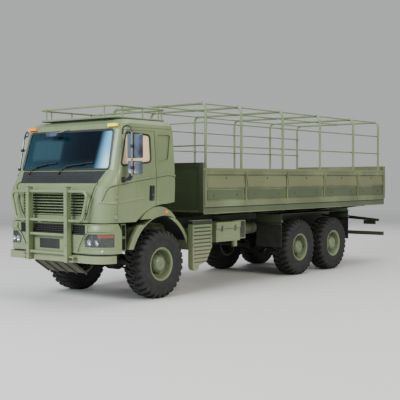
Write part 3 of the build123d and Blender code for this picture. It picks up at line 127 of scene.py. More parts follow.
def finer(corners, gap=0.03):
    # the same line with points no farther apart than `gap`
    corners = np.asarray(corners, float)
    runs = []
    for first, last in zip(corners[:-1], corners[1:]):
        count = max(1, int(np.ceil(np.linalg.norm(last - first) / gap)))
        runs.append(first + (last - first) * np.arange(count)[:, None] / count)
    return np.vstack(runs + [corners[-1:]])


def rounded(corners, radius):
    # a closed outline of two columns with soft corners, with its straight runs filled with points
    flat = softPath(corners, radius, 5, True)
    return finer(np.vstack([flat, flat[:1]]), 0.05)[:-1]


def slab(outline, depth, axes="sz"):
    # a flat outline given a depth; `axes` names the outline's two axes and the depth runs along the third
    outline = np.asarray(outline, float)
    order = ["xsz".index(letter) for letter in axes]
    points = np.zeros((len(depth), len(outline), 3))
    points[..., order[0]] = outline[:, 0]
    points[..., order[1]] = outline[:, 1]
    points[..., 3 - sum(order)] = np.array(depth)[:, None]
    return surface(points)


def box(low, high):
    # the four corners of an upright rectangle
    return [(low[0], low[1]), (low[0], high[1]), (high[0], high[1]), (high[0], low[1])]


def softSlab(first, second, depth, radius, axes="sz"):
    # a rectangle between two limits on each of its axes, with soft corners, given a depth
    return slab(rounded(box((first[0], second[0]), (first[1], second[1])), radius), depth, axes)


def block(x, s, z):
    return slab([(s[0], z[0]), (s[1], z[0]), (s[1], z[1]), (s[0], z[1])], x)


def about(middle, half):
    # the two limits that lie `half` from a middle
    return middle - half, middle + half


def joined(shape, many):
    # one shape out of copies of it: `many` holds the points of each copy
    points, quads, caps = shape
    jump = np.arange(len(many)) * len(points)
    quads = (quads[None] + jump[:, None, None]).reshape(-1, 4)
    return many.reshape(-1, 3), quads, [cap + step for step in jump for cap in caps]


def repeated(shape, offsets):
    # copies of a shape moved by each offset
    return joined(shape, shape[0][None] + np.asarray(offsets, float).reshape(-1, 1, 3))


def turnedCopies(shape, count, start=0.0):
    # copies of a shape spaced evenly round the x axis
    x, s, z = shape[0].T[:, None]
    angle = (start + np.arange(count) / count * 2 * np.pi)[:, None]
    y, up = s * np.cos(angle) - z * np.sin(angle), s * np.sin(angle) + z * np.cos(angle)
    return joined(shape, np.stack([np.broadcast_to(x, y.shape), y, up], axis=-1))


def laid(shape, order=(0, 1, 2), signs=(1, 1, 1), place=(0, 0, 0)):
    # a shape with its axes taken in another order and with other signs, then moved to a place
    points, quads, caps = shape
    return points[:, order] * np.array(signs) + np.array(place), quads, caps


def opposite(shape):
    # the same shape on the truck's other side
    points, quads, caps = shape
    return points * np.array([-1, 1, 1]), quads[:, ::-1], [cap[::-1] for cap in caps]


def sided(shapes, side):
    return shapes if side == "left" else [opposite(shape) for shape in shapes]


def both(shapes):
    return shapes + sided(shapes, "right")


def piece(name, shapes, look, body="chassis", bevel=0.0, angle=35, slot=None):
    # joins shapes into one mesh object in the truck's frame, with its faces outwards and its doubles merged
    points, faces, start = [], [], 0
    for shapePoints, quads, caps in shapes:
        points.append(shapePoints)
        faces += (quads + start).tolist() + [(cap + start).tolist() for cap in caps]
        start += len(shapePoints)
    mesh = bpy.data.meshes.new(name)
    mesh.from_pydata((np.vstack(points) + np.array([0, noseY, 0])).tolist(), [], faces)
    shaped = bmesh.new()
    shaped.from_mesh(mesh)
    bmesh.ops.remove_doubles(shaped, verts=shaped.verts, dist=2e-5)
    bmesh.ops.recalc_face_normals(shaped, faces=shaped.faces)
    shaped.to_mesh(mesh)
    shaped.free()
    mesh.shade_smooth()
    mesh.set_sharp_from_angle(angle=math.radians(angle))
    mesh.materials.append(finish[look])
    made = bpy.data.objects.new(name, mesh)
    bpy.context.scene.collection.objects.link(made)
    if bevel:
        edge = made.modifiers.new("edges", "BEVEL")
        edge.width = bevel
        edge.segments = 2
        edge.limit_method = "ANGLE"
        edge.angle_limit = math.radians(40)
        edge.harden_normals = True
    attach(made, body)
    return made


def pair(name, shapes, look, body="chassis", **extra):
    # a piece on the left and its opposite on the right; the body "door" means the door of each side
    bodies = {side: f"door_{side}" if body == "door" else body for side in ("left", "right")}
    return [piece(f"{name}_{side}", sided(shapes, side), look, bodies[side], **extra) for side in bodies]


# finishes

class Wire:
    # one shader socket in an expression: each operator adds the Math node that works it out
    def __init__(self, paint, socket):
        self.paint = paint
        self.socket = socket

    def __add__(self, other):
        return self.paint.maths("ADD", self, other)

    def __radd__(self, other):
        return self.paint.maths("ADD", other, self)

    def __sub__(self, other):
        return self.paint.maths("SUBTRACT", self, other)

    def __rsub__(self, other):
        return self.paint.maths("SUBTRACT", other, self)

    def __mul__(self, other):
        return self.paint.maths("MULTIPLY", self, other)

    def __rmul__(self, other):
        return self.paint.maths("MULTIPLY", other, self)

    def __truediv__(self, other):
        return self.paint.maths("DIVIDE", self, other)


def tone(red, green, blue):
    # a screen colour of 0 to 255 as the light it stands for
    parts = np.array((red, green, blue)) / 255
    return (*np.where(parts <= 0.04045, parts / 12.92, ((parts + 0.055) / 1.055) ** 2.4).tolist(), 1.0)


class Paint:
    # a material being mixed; add() places any node and the other methods are its common cases
    def __init__(self, name):
        self.material = bpy.data.materials.new(name)
        self.material.use_nodes = True
        self.tree = self.material.node_tree
        self.tree.nodes.clear()
        self.place = self.add("TexCoord", output="Object")

    def feed(self, node, key, value):
        if isinstance(value, Wire):
            self.tree.links.new(value.socket, node.inputs[key])
        else:
            node.inputs[key].default_value = value

    def add(self, kind, settings=None, inputs=None, output=0):
        node = self.tree.nodes.new("ShaderNode" + kind)
        for key, value in (settings or {}).items():
            setattr(node, key, value)
        for key, value in (inputs or {}).items():
            self.feed(node, key, value)
        return Wire(self, node.outputs[output])

    def maths(self, operation, first, second):
        return self.add("Math", {"operation": operation}, {0: first, 1: second})

    def smooth(self, value, low, high):
        # 0 below `low`, 1 above `high` and an S between them
        limits = {0: value, 1: low, 2: high, 3: 0.0, 4: 1.0}
        return self.add("MapRange", {"interpolation_type": "SMOOTHSTEP"}, limits)

    def mixed(self, factor, first, second):
        # two colours mixed, each a wire or a screen colour
        first, second = (part if isinstance(part, Wire) else tone(*part) for part in (first, second))
        settings = {"data_type": "RGBA", "blend_type": "MIX"}
        return self.add("Mix", settings, {0: factor, 6: first, 7: second}, 2)

    def stretched(self, scale):
        return self.add("Mapping", inputs={"Vector": self.place, "Scale": scale})

    def noise(self, scale, detail=3.0, place=None, rough=0.5):
        return self.add("TexNoise", inputs={"Vector": place or self.place, "Scale": scale, "Detail": detail,
                                            "Roughness": rough})

    def wave(self, letter, scale):
        return self.add("TexWave", {"wave_type": "BANDS", "bands_direction": letter},
                        {"Vector": self.place, "Scale": scale})

    def axis(self, letter):
        return self.add("SeparateXYZ", inputs={0: self.place}, output=letter)

    def bumps(self, height, strength, distance):
        return self.add("Bump", inputs={"Height": height, "Strength": strength, "Distance": distance})

    def done(self, **sockets):
        # the shader itself: each keyword is one of its sockets, written as one word
        shader = self.tree.nodes.new("ShaderNodeBsdfPrincipled")
        names = {socket.name.replace(" ", ""): socket.name for socket in shader.inputs}
        for key, value in sockets.items():
            self.feed(shader, names[key], value)
        output = self.tree.nodes.new("ShaderNodeOutputMaterial")
        self.tree.links.new(shader.outputs[0], output.inputs[0])
        return self.material


oliveLook = {
    "paint": (102, 116, 83),
    "faded": (112, 125, 91),
    "under": (40, 46, 33),  # what the runs darken towards
    "dust": (150, 143, 118),
    "dustTop": 1.25,  # road dust thins out up to this height
    "gloss": 0.42,
}


def olive(name, base, faded, dust=0.35, gloss=oliveLook["gloss"], grime=0.5):
    # satin paint: slow fading, thin runs down the sides, fine peel, and road dust that thins out with height
    paint = Paint(name)
    clouds = paint.noise(1.3, 4.0)
    runs = paint.noise(6.0, 3.0, paint.stretched((3.0, 3.0, 0.25)))
    specks = paint.noise(60.0, 2.0)
    worn = paint.mixed(paint.smooth(clouds, 0.38, 0.72), base, faded)
    darkened = paint.mixed(paint.smooth(runs, 0.52, 0.8) * (0.35 * grime), worn, oliveLook["under"])
    low = 1 - paint.smooth(paint.axis("Z") + clouds * 0.5 - 0.25, 0.35, oliveLook["dustTop"])
    caught = low * paint.smooth(specks, 0.35, 0.65) * dust + low * (dust * 0.5)
    dusty = paint.mixed(caught, darkened, oliveLook["dust"])
    peel = paint.bumps(paint.noise(220.0, 1.0), 0.12, 0.0006)
    rough = low * (0.3 * dust) + specks * 0.12 + (gloss - 0.06)
    return paint.done(BaseColor=dusty, Roughness=rough, Normal=peel, CoatWeight=0.12, CoatRoughness=0.3)


def tyreRubber(name):
    # moulded rubber: dark grey with dust caught in its grain, lighter where the tread has run
    paint = Paint(name)
    grain = paint.noise(90.0, 4.0)
    patches = paint.noise(7.0, 3.0)
    colour = paint.mixed(paint.smooth(patches, 0.4, 0.75) * 0.5, (29, 30, 31), (46, 46, 45))
    dusty = paint.mixed(paint.smooth(grain, 0.55, 0.8) * 0.3, colour, (74, 74, 70))
    return paint.done(BaseColor=dusty, Roughness=grain * 0.15 + 0.72, Normal=paint.bumps(grain, 0.35, 0.0012))


def plain(name, colour, other, scale, rough, bump, metal=0.0, mask=(0.4, 0.7)):
    # one material with a slow change of shade and a grain of its own scale
    paint = Paint(name)
    grain = paint.noise(scale, 3.0)
    colours = paint.mixed(paint.smooth(paint.noise(scale / 12, 3.0), *mask), colour, other)
    return paint.done(BaseColor=colours, Roughness=grain * 0.2 + (rough - 0.1), Metallic=metal,
                      Normal=paint.bumps(grain, bump, 0.0006))


def glass(name, dark, light, alpha, low, high):
    # safety glass of the given colours, paler towards its top as a painted sky reflection, with a faint film
    # of dust at its foot
    paint = Paint(name)
    height = paint.smooth(paint.axis("Z"), low, high)
    film = paint.noise(9.0, 4.0)
    # paler towards the top: a painted sky reflection
    colour = paint.mixed(height * 0.6 + film * 0.25, dark, light)
    return paint.done(BaseColor=colour, Roughness=film * 0.05 + 0.03, Alpha=(1 - height) * 0.06 + alpha,
                      SpecularIORLevel=0.9, CoatWeight=1.0, CoatRoughness=0.02)


windscreenLook = {
    # each pair is where a change of colour starts and ends, in metres across or up
    "right": ((-0.94, -0.82), (-0.20, -0.10)),  # the sides of the teal half
    "half": ((2.32, 2.42), (2.68, 2.76)),  # its foot and its top
    "foot": (2.22, 2.44),
    "deep": (-1.1, 0.5),
    # the bright band and its paler part are a painted sky reflection
    "band": (0.66, 0.92),  # the bright band, which leans by `lean` from the glass's foot
    "bandPale": ((2.25, 2.6), (0.80, 1.0)),
    "lean": 0.11,
    "glassFoot": 2.195,
}


def windscreenGlass(name):
    # laminated glass: navy, teal over the right half and along its foot, a bright band of painted sky
    # reflection down its left edge
    paint = Paint(name)
    x, z = paint.axis("X"), paint.axis("Z")
    film = paint.noise(5.0, 3.0)
    (start, end), (foot, top), (low, side) = (windscreenLook[part] for part in ("right", "half", "bandPale"))
    half = paint.smooth(x, *start) * (1 - paint.smooth(x, *end)) * paint.smooth(z, *foot)
    footShare = (1 - paint.smooth(z + film * 0.08, *windscreenLook["foot"])) * 0.5
    deep = paint.mixed(paint.smooth(x, *windscreenLook["deep"]), (18, 44, 56), (1, 10, 20))
    teal = paint.mixed(half * (1 - paint.smooth(z, *top)) * 0.7, deep, (40, 66, 76))
    base = paint.mixed(footShare, teal, (34, 62, 76))
    # the band down the left edge is a painted sky reflection, whiter towards its foot and its outer side
    drift = x - (z - windscreenLook["glassFoot"]) * windscreenLook["lean"]
    band = paint.smooth(drift, *windscreenLook["band"])
    pale = paint.mixed((1 - paint.smooth(z, *low)) * paint.smooth(x, *side), (112, 172, 206), (186, 220, 232))
    return paint.done(BaseColor=paint.mixed(band * 0.9, base, pale), Roughness=film * 0.04 + 0.03,
                      Alpha=band * 0.04 + 0.93, SpecularIORLevel=0.16, CoatWeight=0.05, CoatRoughness=0.02)


def cloth(name, colour, other):
    # a plain weave: threads crossing at right angles on every side, shaded by slow noise
    paint = Paint(name)
    threads = [paint.wave(letter, 45.0) for letter in "XYZ"]
    weave = (threads[0] + threads[1] + threads[2]) / 3
    colours = paint.mixed(paint.noise(14.0, 3.0) * 0.6 + weave * 0.3, colour, other)
    threadBumps = paint.bumps(weave, 0.5, 0.0015)
    return paint.done(BaseColor=colours, Roughness=0.92, Normal=threadBumps, SheenWeight=0.3)


def lens(name, colour, glow):
    # a moulded lens: fine flutes under a clear skin, each flute with a lighter stripe as a painted highlight
    paint = Paint(name)
    flutes = paint.wave("X", 70.0)
    return paint.done(BaseColor=paint.mixed(flutes * 0.35, colour, glow), Roughness=0.3,
                      Normal=paint.bumps(flutes, 0.3, 0.001), CoatWeight=0.4, CoatRoughness=0.06)


def metal(name, colour, rough):
    # bare or plated metal with fine scratches along its length
    paint = Paint(name)
    scratches = paint.noise(140.0, 4.0, paint.stretched((1.0, 0.15, 1.0)))
    return paint.done(BaseColor=paint.mixed(scratches * 0.4, colour, (90, 88, 84)), Metallic=1.0,
                      Roughness=scratches * 0.25 + (rough - 0.1), Normal=paint.bumps(scratches, 0.1, 0.0004))


def wood(name, colour, other):
    # boards along the truck: long grain under a thin grey-green stain
    paint = Paint(name)
    grain = paint.noise(14.0, 6.0, paint.stretched((3.0, 0.25, 3.0)), 0.65)
    colours = paint.mixed(paint.smooth(grain, 0.35, 0.7), colour, other)
    return paint.done(BaseColor=colours, Roughness=grain * 0.2 + 0.62, Normal=paint.bumps(grain, 0.4, 0.002))


finish = {
    # olive: colour, faded colour, dust, gloss, grime
    "cab": olive("cabPaint", oliveLook["paint"], oliveLook["faded"]),
    "bed": olive("bedPaint", (90, 96, 68), oliveLook["faded"], 0.3, 0.5),
    # painted light and shade: a lighter copy of the bed's olive for faces that catch the light, a darker one
    # for faces in shade
    "bedLight": olive("boardPaintedLight", (99, 104, 74), (108, 112, 81), 0.1, 0.5),
    "bedDark": olive("boardPaintedShade", (68, 80, 56), (78, 89, 64), 0.2, 0.5),
    "rim": olive("rimPaint", (92, 109, 80), (106, 122, 92), 0.1, 0.35),
    # a dark olive for the frame, also laid as painted shade in the wheels' dishes and the guard's grooves
    "frame": olive("framePaintAndShade", (36, 41, 29), (48, 53, 38), 0.3, 0.55),
    "tilt": olive("tiltPaint", (102, 117, 83), (112, 126, 91), 0.0, 0.42, 0.3),
    # painted shade: a near-black olive and a darker olive for parts that stand in shade
    "shade": olive("paintedShadeDark", (26, 29, 21), (38, 41, 30), 0.2, 0.6),
    "well": olive("paintedShadeOlive", (58, 68, 48), (66, 76, 55), 0.3, 0.55),
    # plain: two colours, grain per metre, roughness, bump, metal share
    "iron": plain("axleIron", (30, 32, 27), (48, 48, 38), 50.0, 0.68, 0.35, 0.35),
    "engine": plain("engineMetal", (70, 72, 72), (92, 92, 88), 60.0, 0.55, 0.3, 0.6),
    "rubber": plain("flapRubber", (28, 28, 27), (44, 43, 39), 80.0, 0.75, 0.3),
    # black trim, also laid as painted shade under the belt, under the arches, on the rack's floor, at the
    # bumper's foot and round the hubs
    "black": plain("blackTrimAndShade", (22, 23, 23), (34, 35, 34), 300.0, 0.5, 0.25),
    "cowl": plain("cowlPlastic", (14, 18, 23), (22, 26, 31), 240.0, 0.55, 0.2),
    "trim": plain("cabTrim", (52, 54, 54), (66, 68, 66), 350.0, 0.6, 0.35),
    # painted sky reflection: the mirrors' black plastic shells mottled dark navy to blue-grey, the small head
    # pale grey
    "navy": plain("mirrorShell", (26, 33, 44), (74, 86, 102), 18.0, 0.22, 0.05, mask=(0.45, 0.62)),
    "pale": plain("mirrorSkirt", (78, 84, 94), (168, 172, 176), 22.0, 0.25, 0.05, mask=(0.46, 0.62)),
    "plate": plain("blankPlate", (40, 42, 40), (52, 54, 50), 200.0, 0.45, 0.1),
    "mirror": plain("mirrorGlass", (150, 158, 160), (176, 184, 186), 10.0, 0.12, 0.0, 1.0),
    "tyre": tyreRubber("tyreRubber"),
    "seat": cloth("seatCloth", (48, 52, 50), (78, 82, 76)),
    "windscreen": windscreenGlass("windscreenGlass"),
    # glass: dark and light colour, alpha, and the heights between which it pales as a painted sky reflection
    "glass": glass("doorGlass", (232, 206, 156), (244, 222, 180), 0.84, 2.3, 2.8),
    "clear": glass("lampSkin", (92, 98, 98), (120, 126, 126), 0.10, 0.9, 1.2),
    # lenses: colour, and the lighter colour of the painted highlight on the flutes
    "lens": lens("lampLens", (196, 204, 202), (236, 240, 238)),
    "amber": lens("amberLens", (240, 118, 4), (252, 150, 20)),
    "yellow": lens("yellowLens", (252, 232, 0), (255, 244, 40)),
    "red": lens("redLens", (96, 24, 18), (128, 40, 30)),
    "brown": lens("cornerLens", (126, 48, 4), (154, 66, 8)),
    "chrome": metal("reflector", (208, 212, 212), 0.14),
    "steel": metal("bareSteel", (132, 132, 128), 0.38),
    "boards": wood("bedBoards", (92, 88, 66), (126, 118, 88)),
}

nodeFinish = {
    "cab": "cab_shell door_left door_right front_bumper lower_bumper front_fenders grille roof_rack "
           "ribbed_guards side_boxes brush_guard",
    # painted shade: parts that stand in shade, in a near-black olive
    "shade": "tow_hitch skid_plate rear_guard tail_lamps",
    "bed": "bed_sides tailgate",
    # painted shade: the headboard in the darker bed olive
    "bedDark": "headboard",
    "frame": "chassis_frame cab_floor",
    "tilt": "tilt_bows tilt_rails",
    "boards": "bed_floor",
    "iron": "front_axle bogie_axles knuckle_left knuckle_right tie_rod leaf_springs driveline",
    "engine": "engine",
    "black": "wipers",
    # painted shade: the steps, guards, bed frame and tanks in a darker olive
    "well": "cab_steps bogie_guards bed_frame tanks",
    # painted sky reflection: the mirrors' black plastic shells in navy
    "navy": "mirrors_left mirrors_right front_mirror",
    "rubber": "mudflaps",
    "trim": "dashboard",
    "seat": "seats",
    "windscreen": "windscreen",
    "glass": "door_glass_left door_glass_right",
    "lens": "headlamps",
    "amber": "marker_lamps",
    "plate": "number_plate",
}
wheelPlaces = [f"{place}_{side}" for place in ("front", "middle", "rear") for side in ("left", "right")]
nodeFinish["tyre"] = " ".join("tyre_" + place for place in wheelPlaces)
nodeFinish["rim"] = " ".join("wheel_" + place for place in wheelPlaces)
for look, names in nodeFinish.items():
    for name in names.split():
        nodes[name].data.materials.clear()
        nodes[name].data.materials.append(finish[look])
print("finishes mixed:", len(finish))


# camera, floor and light

cameraPlan = {
    "place": (10.479, -13.812, 2.032),
    "yaw": 38.96,
    "pitch": -1.413,
    "roll": -0.187,
    "lens": 73.88,
}

stagePlan = {
    "rings": [0.0, 12.0, 40.0, 150.0],  # radii of the floor's rings
    "fade": (13.0, 42.0),  # the floor fades into the background between these distances
    "world": (186, 187, 188),
    # name: place, aim, width, power, colour
    "lights": {
        "frontKey": ((-1.0, -20.0, 10.0), (0, -3.5, 1.6), 9.0, 5300, (0.92, 0.98, 1.0)),
        "sideFill": ((19.0, -4.5, 11.0), (0, -3.6, 2.4), 8.0, 2900, (1.0, 0.95, 0.80)),
        "overhead": ((2.0, 2.0, 15.0), (0, 1.0, 1.0), 12.0, 1500, (1, 1, 1)),
        "backRim": ((-12.0, 14.0, 9.0), (0, 1.0, 2.0), 8.0, 1200, (1, 1, 1)),
    },
}


def setCamera():
    # the view direction from yaw and pitch, then the picture's right and up turned by the roll
    yaw, pitch, roll = (math.radians(cameraPlan[part]) for part in ("yaw", "pitch", "roll"))
    ahead = Vector((-math.sin(yaw) * math.cos(pitch), math.cos(yaw) * math.cos(pitch), math.sin(pitch)))
    level = Vector((math.cos(yaw), math.sin(yaw), 0))
    above = level.cross(ahead)
    right = level * math.cos(roll) + above * math.sin(roll)
    up = above * math.cos(roll) - level * math.sin(roll)
    data = bpy.data.cameras.new("camera")
    data.lens = cameraPlan["lens"]
    data.sensor_width = 36
    data.clip_end = 400
    camera = bpy.data.objects.new("camera", data)
    camera.matrix_world = Matrix((right, up, -ahead)).transposed().to_4x4()
    camera.location = cameraPlan["place"]
    bpy.context.scene.collection.objects.link(camera)
    bpy.context.scene.camera = camera


def setFloor():
    floor = Paint("studioFloor")
    shade = floor.noise(0.15, 2.0)
    away = floor.add("VectorMath", {"operation": "LENGTH"}, {0: floor.place}, "Value")
    finish["studioFloor"] = floor.done(BaseColor=floor.mixed(shade * 0.3, (200, 200, 199), (192, 192, 192)),
                                       Roughness=shade * 0.1 + 0.75,
                                       Alpha=1 - floor.smooth(away, *stagePlan["fade"]))
    angle = np.arange(64) / 64 * 2 * np.pi
    rings = np.array(stagePlan["rings"])[:, None]
    flat = np.zeros((len(rings), len(angle)))
    points = np.stack([rings * np.cos(angle), rings * np.sin(angle) - noseY, flat], axis=-1)
    made = piece("studio_floor", [surface(points, False)], "studioFloor")
    made.parent = None


def setLight():
    world = bpy.data.worlds.new("studio")
    bpy.context.scene.world = world
    world.use_nodes = True
    world.node_tree.nodes["Background"].inputs[0].default_value = tone(*stagePlan["world"])
    world.node_tree.nodes["Background"].inputs[1].default_value = 1.0
    for name, (place, aim, width, power, colour) in stagePlan["lights"].items():
        data = bpy.data.lights.new(name, "AREA")
        data.shape = "DISK"
        data.size = width
        data.energy = power
        data.color = colour
        lamp = bpy.data.objects.new(name, data)
        lamp.location = place
        lamp.rotation_mode = "QUATERNION"
        lamp.rotation_quaternion = (Vector(aim) - Vector(place)).to_track_quat("-Z", "Y")
        bpy.context.scene.collection.objects.link(lamp)


setCamera()
setFloor()
setLight()
print("camera, floor and light set")


# wheels and tyres

wheelPlan = {
    "x": 0.965,
    "stations": {"front": 1.588, "middle": 6.034, "rear": 7.446},
    "height": 0.59,
    "lugs": 30,
    "lugWidth": 0.066,
    "lean": 0.10,  # how far a lug turns round the axle between its shoulder and the tread's middle
    # each row below is (distance out from the wheel's middle, radius)
    "carcass": [(0.0, 0.556), (0.10, 0.555), (0.152, 0.548), (0.176, 0.532), (0.188, 0.50), (0.1945, 0.455),
                (0.194, 0.41), (0.189, 0.37), (0.1885, 0.362), (0.1835, 0.356), (0.183, 0.342), (0.186, 0.336),
                (0.184, 0.322), (0.178, 0.305), (0.1765, 0.292), (0.170, 0.2905), (0.1647, 0.272),
                (0.150, 0.2626)],
    "tube": [(-0.150, 0.2626), (-0.12, 0.30), (0.12, 0.30), (0.150, 0.2626)],
    "lugTop": [(0.016, 0.5895), (0.070, 0.5895), (0.120, 0.588), (0.157, 0.581), (0.180, 0.560),
               (0.1925, 0.522), (0.1945, 0.487)],
    "lugFoot": [(0.016, 0.550), (0.070, 0.549), (0.120, 0.547), (0.150, 0.543), (0.168, 0.528), (0.180, 0.505),
                (0.186, 0.480)],
    "lugShares": [0.74, 0.92, 1.0, 1.0, 0.95, 0.86, 0.62],  # the lug's width along its length
    "inside": [(0.0, 0.0), (0.0, 0.062), (-0.088, 0.062), (-0.088, 0.100), (-0.086, 0.214), (-0.02, 0.215),
               (0.018, 0.220), (0.018, 0.246), (-0.14, 0.2500), (-0.166, 0.255), (-0.177, 0.279),
               (-0.177, 0.286), (-0.1725, 0.2905), (-0.166, 0.2895), (-0.166, 0.262), (0.0, 0.2615),
               (0.166, 0.262)],
    "rim": [(0.166, 0.262), (0.166, 0.2895), (0.1725, 0.2905), (0.177, 0.286), (0.177, 0.279), (0.171, 0.270),
            (0.166, 0.255), (0.150, 0.2465), (0.088, 0.2400), (0.060, 0.232), (0.046, 0.222), (0.038, 0.206),
            (0.034, 0.188), (0.034, 0.168)],
    "hub": [(0.046, 0.163), (0.052, 0.154), (0.060, 0.1515), (0.098, 0.1465), (0.102, 0.1395), (0.116, 0.1375),
            (0.120, 0.130), (0.139, 0.122), (0.150, 0.110), (0.158, 0.094), (0.1625, 0.084), (0.1645, 0.046),
            (0.1645, 0.0)],
    "rib": [(0.050, 0.150), (0.102, 0.1455), (0.150, 0.110), (0.150, 0.118), (0.106, 0.1525), (0.050, 0.158)],
    "boss": [(0.160, 0.0), (0.160, 0.030), (0.1695, 0.028), (0.172, 0.020), (0.172, 0.0)],
    "cap": [(0.172, 0.0), (0.172, 0.012), (0.1765, 0.010), (0.1765, 0.0)],
    # the dish ring and the well ring are dark painted shade: in the dish between rim and hub, and round the
    # hub's foot
    "dish": [(0.0346, 0.168), (0.0346, 0.188), (0.0385, 0.206), (0.0465, 0.222), (0.0605, 0.232),
             (0.0655, 0.230), (0.0500, 0.219), (0.0400, 0.205), (0.0360, 0.188), (0.0360, 0.168),
             (0.0346, 0.168)],
    "well": [(0.0355, 0.152), (0.0355, 0.172), (0.0475, 0.1645), (0.0535, 0.1560), (0.0535, 0.152),
             (0.0355, 0.152)],
    # small parts set round the hub: profile, sides, the first one's place, how many, turn of the first one
    "holes": ([(0.034, 0.0), (0.034, 0.013), (0.0385, 0.013), (0.0385, 0.009), (0.036, 0.0)], 10,
              (0, 0.2115, 0), 10, math.pi / 10),
    "plugs": ([(0.0, 0.0), (0.0, 0.010), (0.008, 0.010), (0.009, 0.0)], 6, (0.1605, 0.062, 0), 5, 0.0),
    "nuts": ([(0.0, 0.0), (0.0, 0.0165), (0.022, 0.0155), (0.026, 0.012), (0.026, 0.007), (0.034, 0.006),
              (0.034, 0.0)], 6, (0.034, 0.19, 0), 10, 0.0),
    "screws": ([(0.0, 0.0), (0.0, 0.011), (0.012, 0.011), (0.015, 0.007), (0.015, 0.0)], 6,
               (0.106, 0.1405, 0), 16, math.pi / 16),
    # pockets: black discs on the hub's cone, painted shade
    "pockets": ([(0.0, 0.0), (0.0, 0.0125), (0.005, 0.0115), (0.005, 0.0)], 10, (0.1275, 0.1235, 0), 8, 0.0),
}


def lugShapes():
    # each lug is a bar that follows the tread and wraps over the shoulder, leaning back towards the middle
    top, foot = np.array(wheelPlan["lugTop"]), np.array(wheelPlan["lugFoot"])
    width = np.array(wheelPlan["lugShares"]) * wheelPlan["lugWidth"] / 2 / wheelPlan["height"]
    lean = wheelPlan["lean"] * (1 - top[:, 0] / 0.19)
    ring = np.stack([lean - width * 1.12, lean - width, lean + width, lean + width * 1.12], axis=-1)
    x, radius = np.moveaxis(np.stack([foot, top, top, foot], axis=1), -1, 0)
    pitch = np.arange(wheelPlan["lugs"]) / wheelPlan["lugs"] * 2 * np.pi
    shapes = []
    for side, start in ((1, pitch), (-1, pitch + math.pi / wheelPlan["lugs"])):
        angle = start[:, None, None] + ring
        points = [np.broadcast_to(x * side, angle.shape), radius * np.cos(angle), radius * np.sin(angle)]
        shapes += [surface(lug) for lug in np.stack(points, axis=-1)]
    return shapes


def tyreShapes():
    # the carcass is turned about the axle, with lugs, short stubs between them, fine bars on the outer wall
    half = wheelPlan["carcass"]
    profile = [(-x, radius) for x, radius in reversed(half[1:])] + half
    shapes = [turned(profile, 96), turned(wheelPlan["tube"])]
    shapes += lugShapes()
    short = [(-0.013, 0.54), (0.013, 0.54), (0.011, 0.5885), (-0.011, 0.5885)]
    for reach, start in (((-0.055, 0.03), 0.15), ((-0.03, 0.055), 0.26)):
        shapes.append(turnedCopies(slab(short, reach), wheelPlan["lugs"], start))
    bar = [(-0.003, 0.398), (0.003, 0.398), (0.003, 0.452), (-0.003, 0.452)]
    return shapes + [turnedCopies(slab(bar, (0.19, 0.1975)), 72)]


def hubSet(name):
    profile, sides, place, count, start = wheelPlan[name]
    return turnedCopies(turned(profile, sides, place), count, start)


def wheelShapes():
    # rim, dish, planetary hub and brake drum as one turned profile, with holes, ribs and plugs set round it
    ribs = turnedCopies(slab(wheelPlan["rib"], (-0.005, 0.005), "xz"), 16)
    return [turned(wheelPlan["inside"] + wheelPlan["rim"] + wheelPlan["hub"], 72), hubSet("holes"), ribs,
            hubSet("plugs"), turned(wheelPlan["boss"], 24)]


def makeWheels():
    # name: shapes, finish, slot, what it replaces
    parts = {
        "lugged_tyre": (tyreShapes(), "tyre", "tyre_rubber", "tyre"),
        "dished_wheel": (wheelShapes(), "rim", "wheel_paint", "wheel"),
        "hub_cap": ([turned(wheelPlan["cap"], 12), rod((0.10, 0.225, 0.0), (0.150, 0.236, 0.0), 0.005, 6)],
                    "steel", None, None),
        # the lighter studs are a painted highlight; the dark dish, the black hub ring and pockets are painted
        # shade
        "wheel_studs": ([hubSet("nuts"), hubSet("screws")], "bedLight", None, None),
        "wheel_dish": ([turned(wheelPlan["dish"], 72)], "frame", None, None),
        "hub_pocket_shade": ([turned(wheelPlan["well"], 72), hubSet("pockets")], "black", None, None),
    }
    for where, station in wheelPlan["stations"].items():
        for side, sign in (("left", 1), ("right", -1)):
            centre = (sign * wheelPlan["x"], station, wheelPlan["height"])
            for name, (shapes, look, slot, replaced) in parts.items():
                # the right-hand ones are turned half way round so that their outsides face out
                own = [laid(shape, signs=(sign, sign, 1), place=centre) for shape in shapes]
                made = piece(f"{name}_{where}_{side}", own, look, f"{where}_wheel_{side}",
                             angle=32 if replaced == "tyre" else 35, slot=slot)
                if replaced:
                    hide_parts(f"{replaced}_{where}_{side}")


makeWheels()
print("wheels and tyres made")


# cab

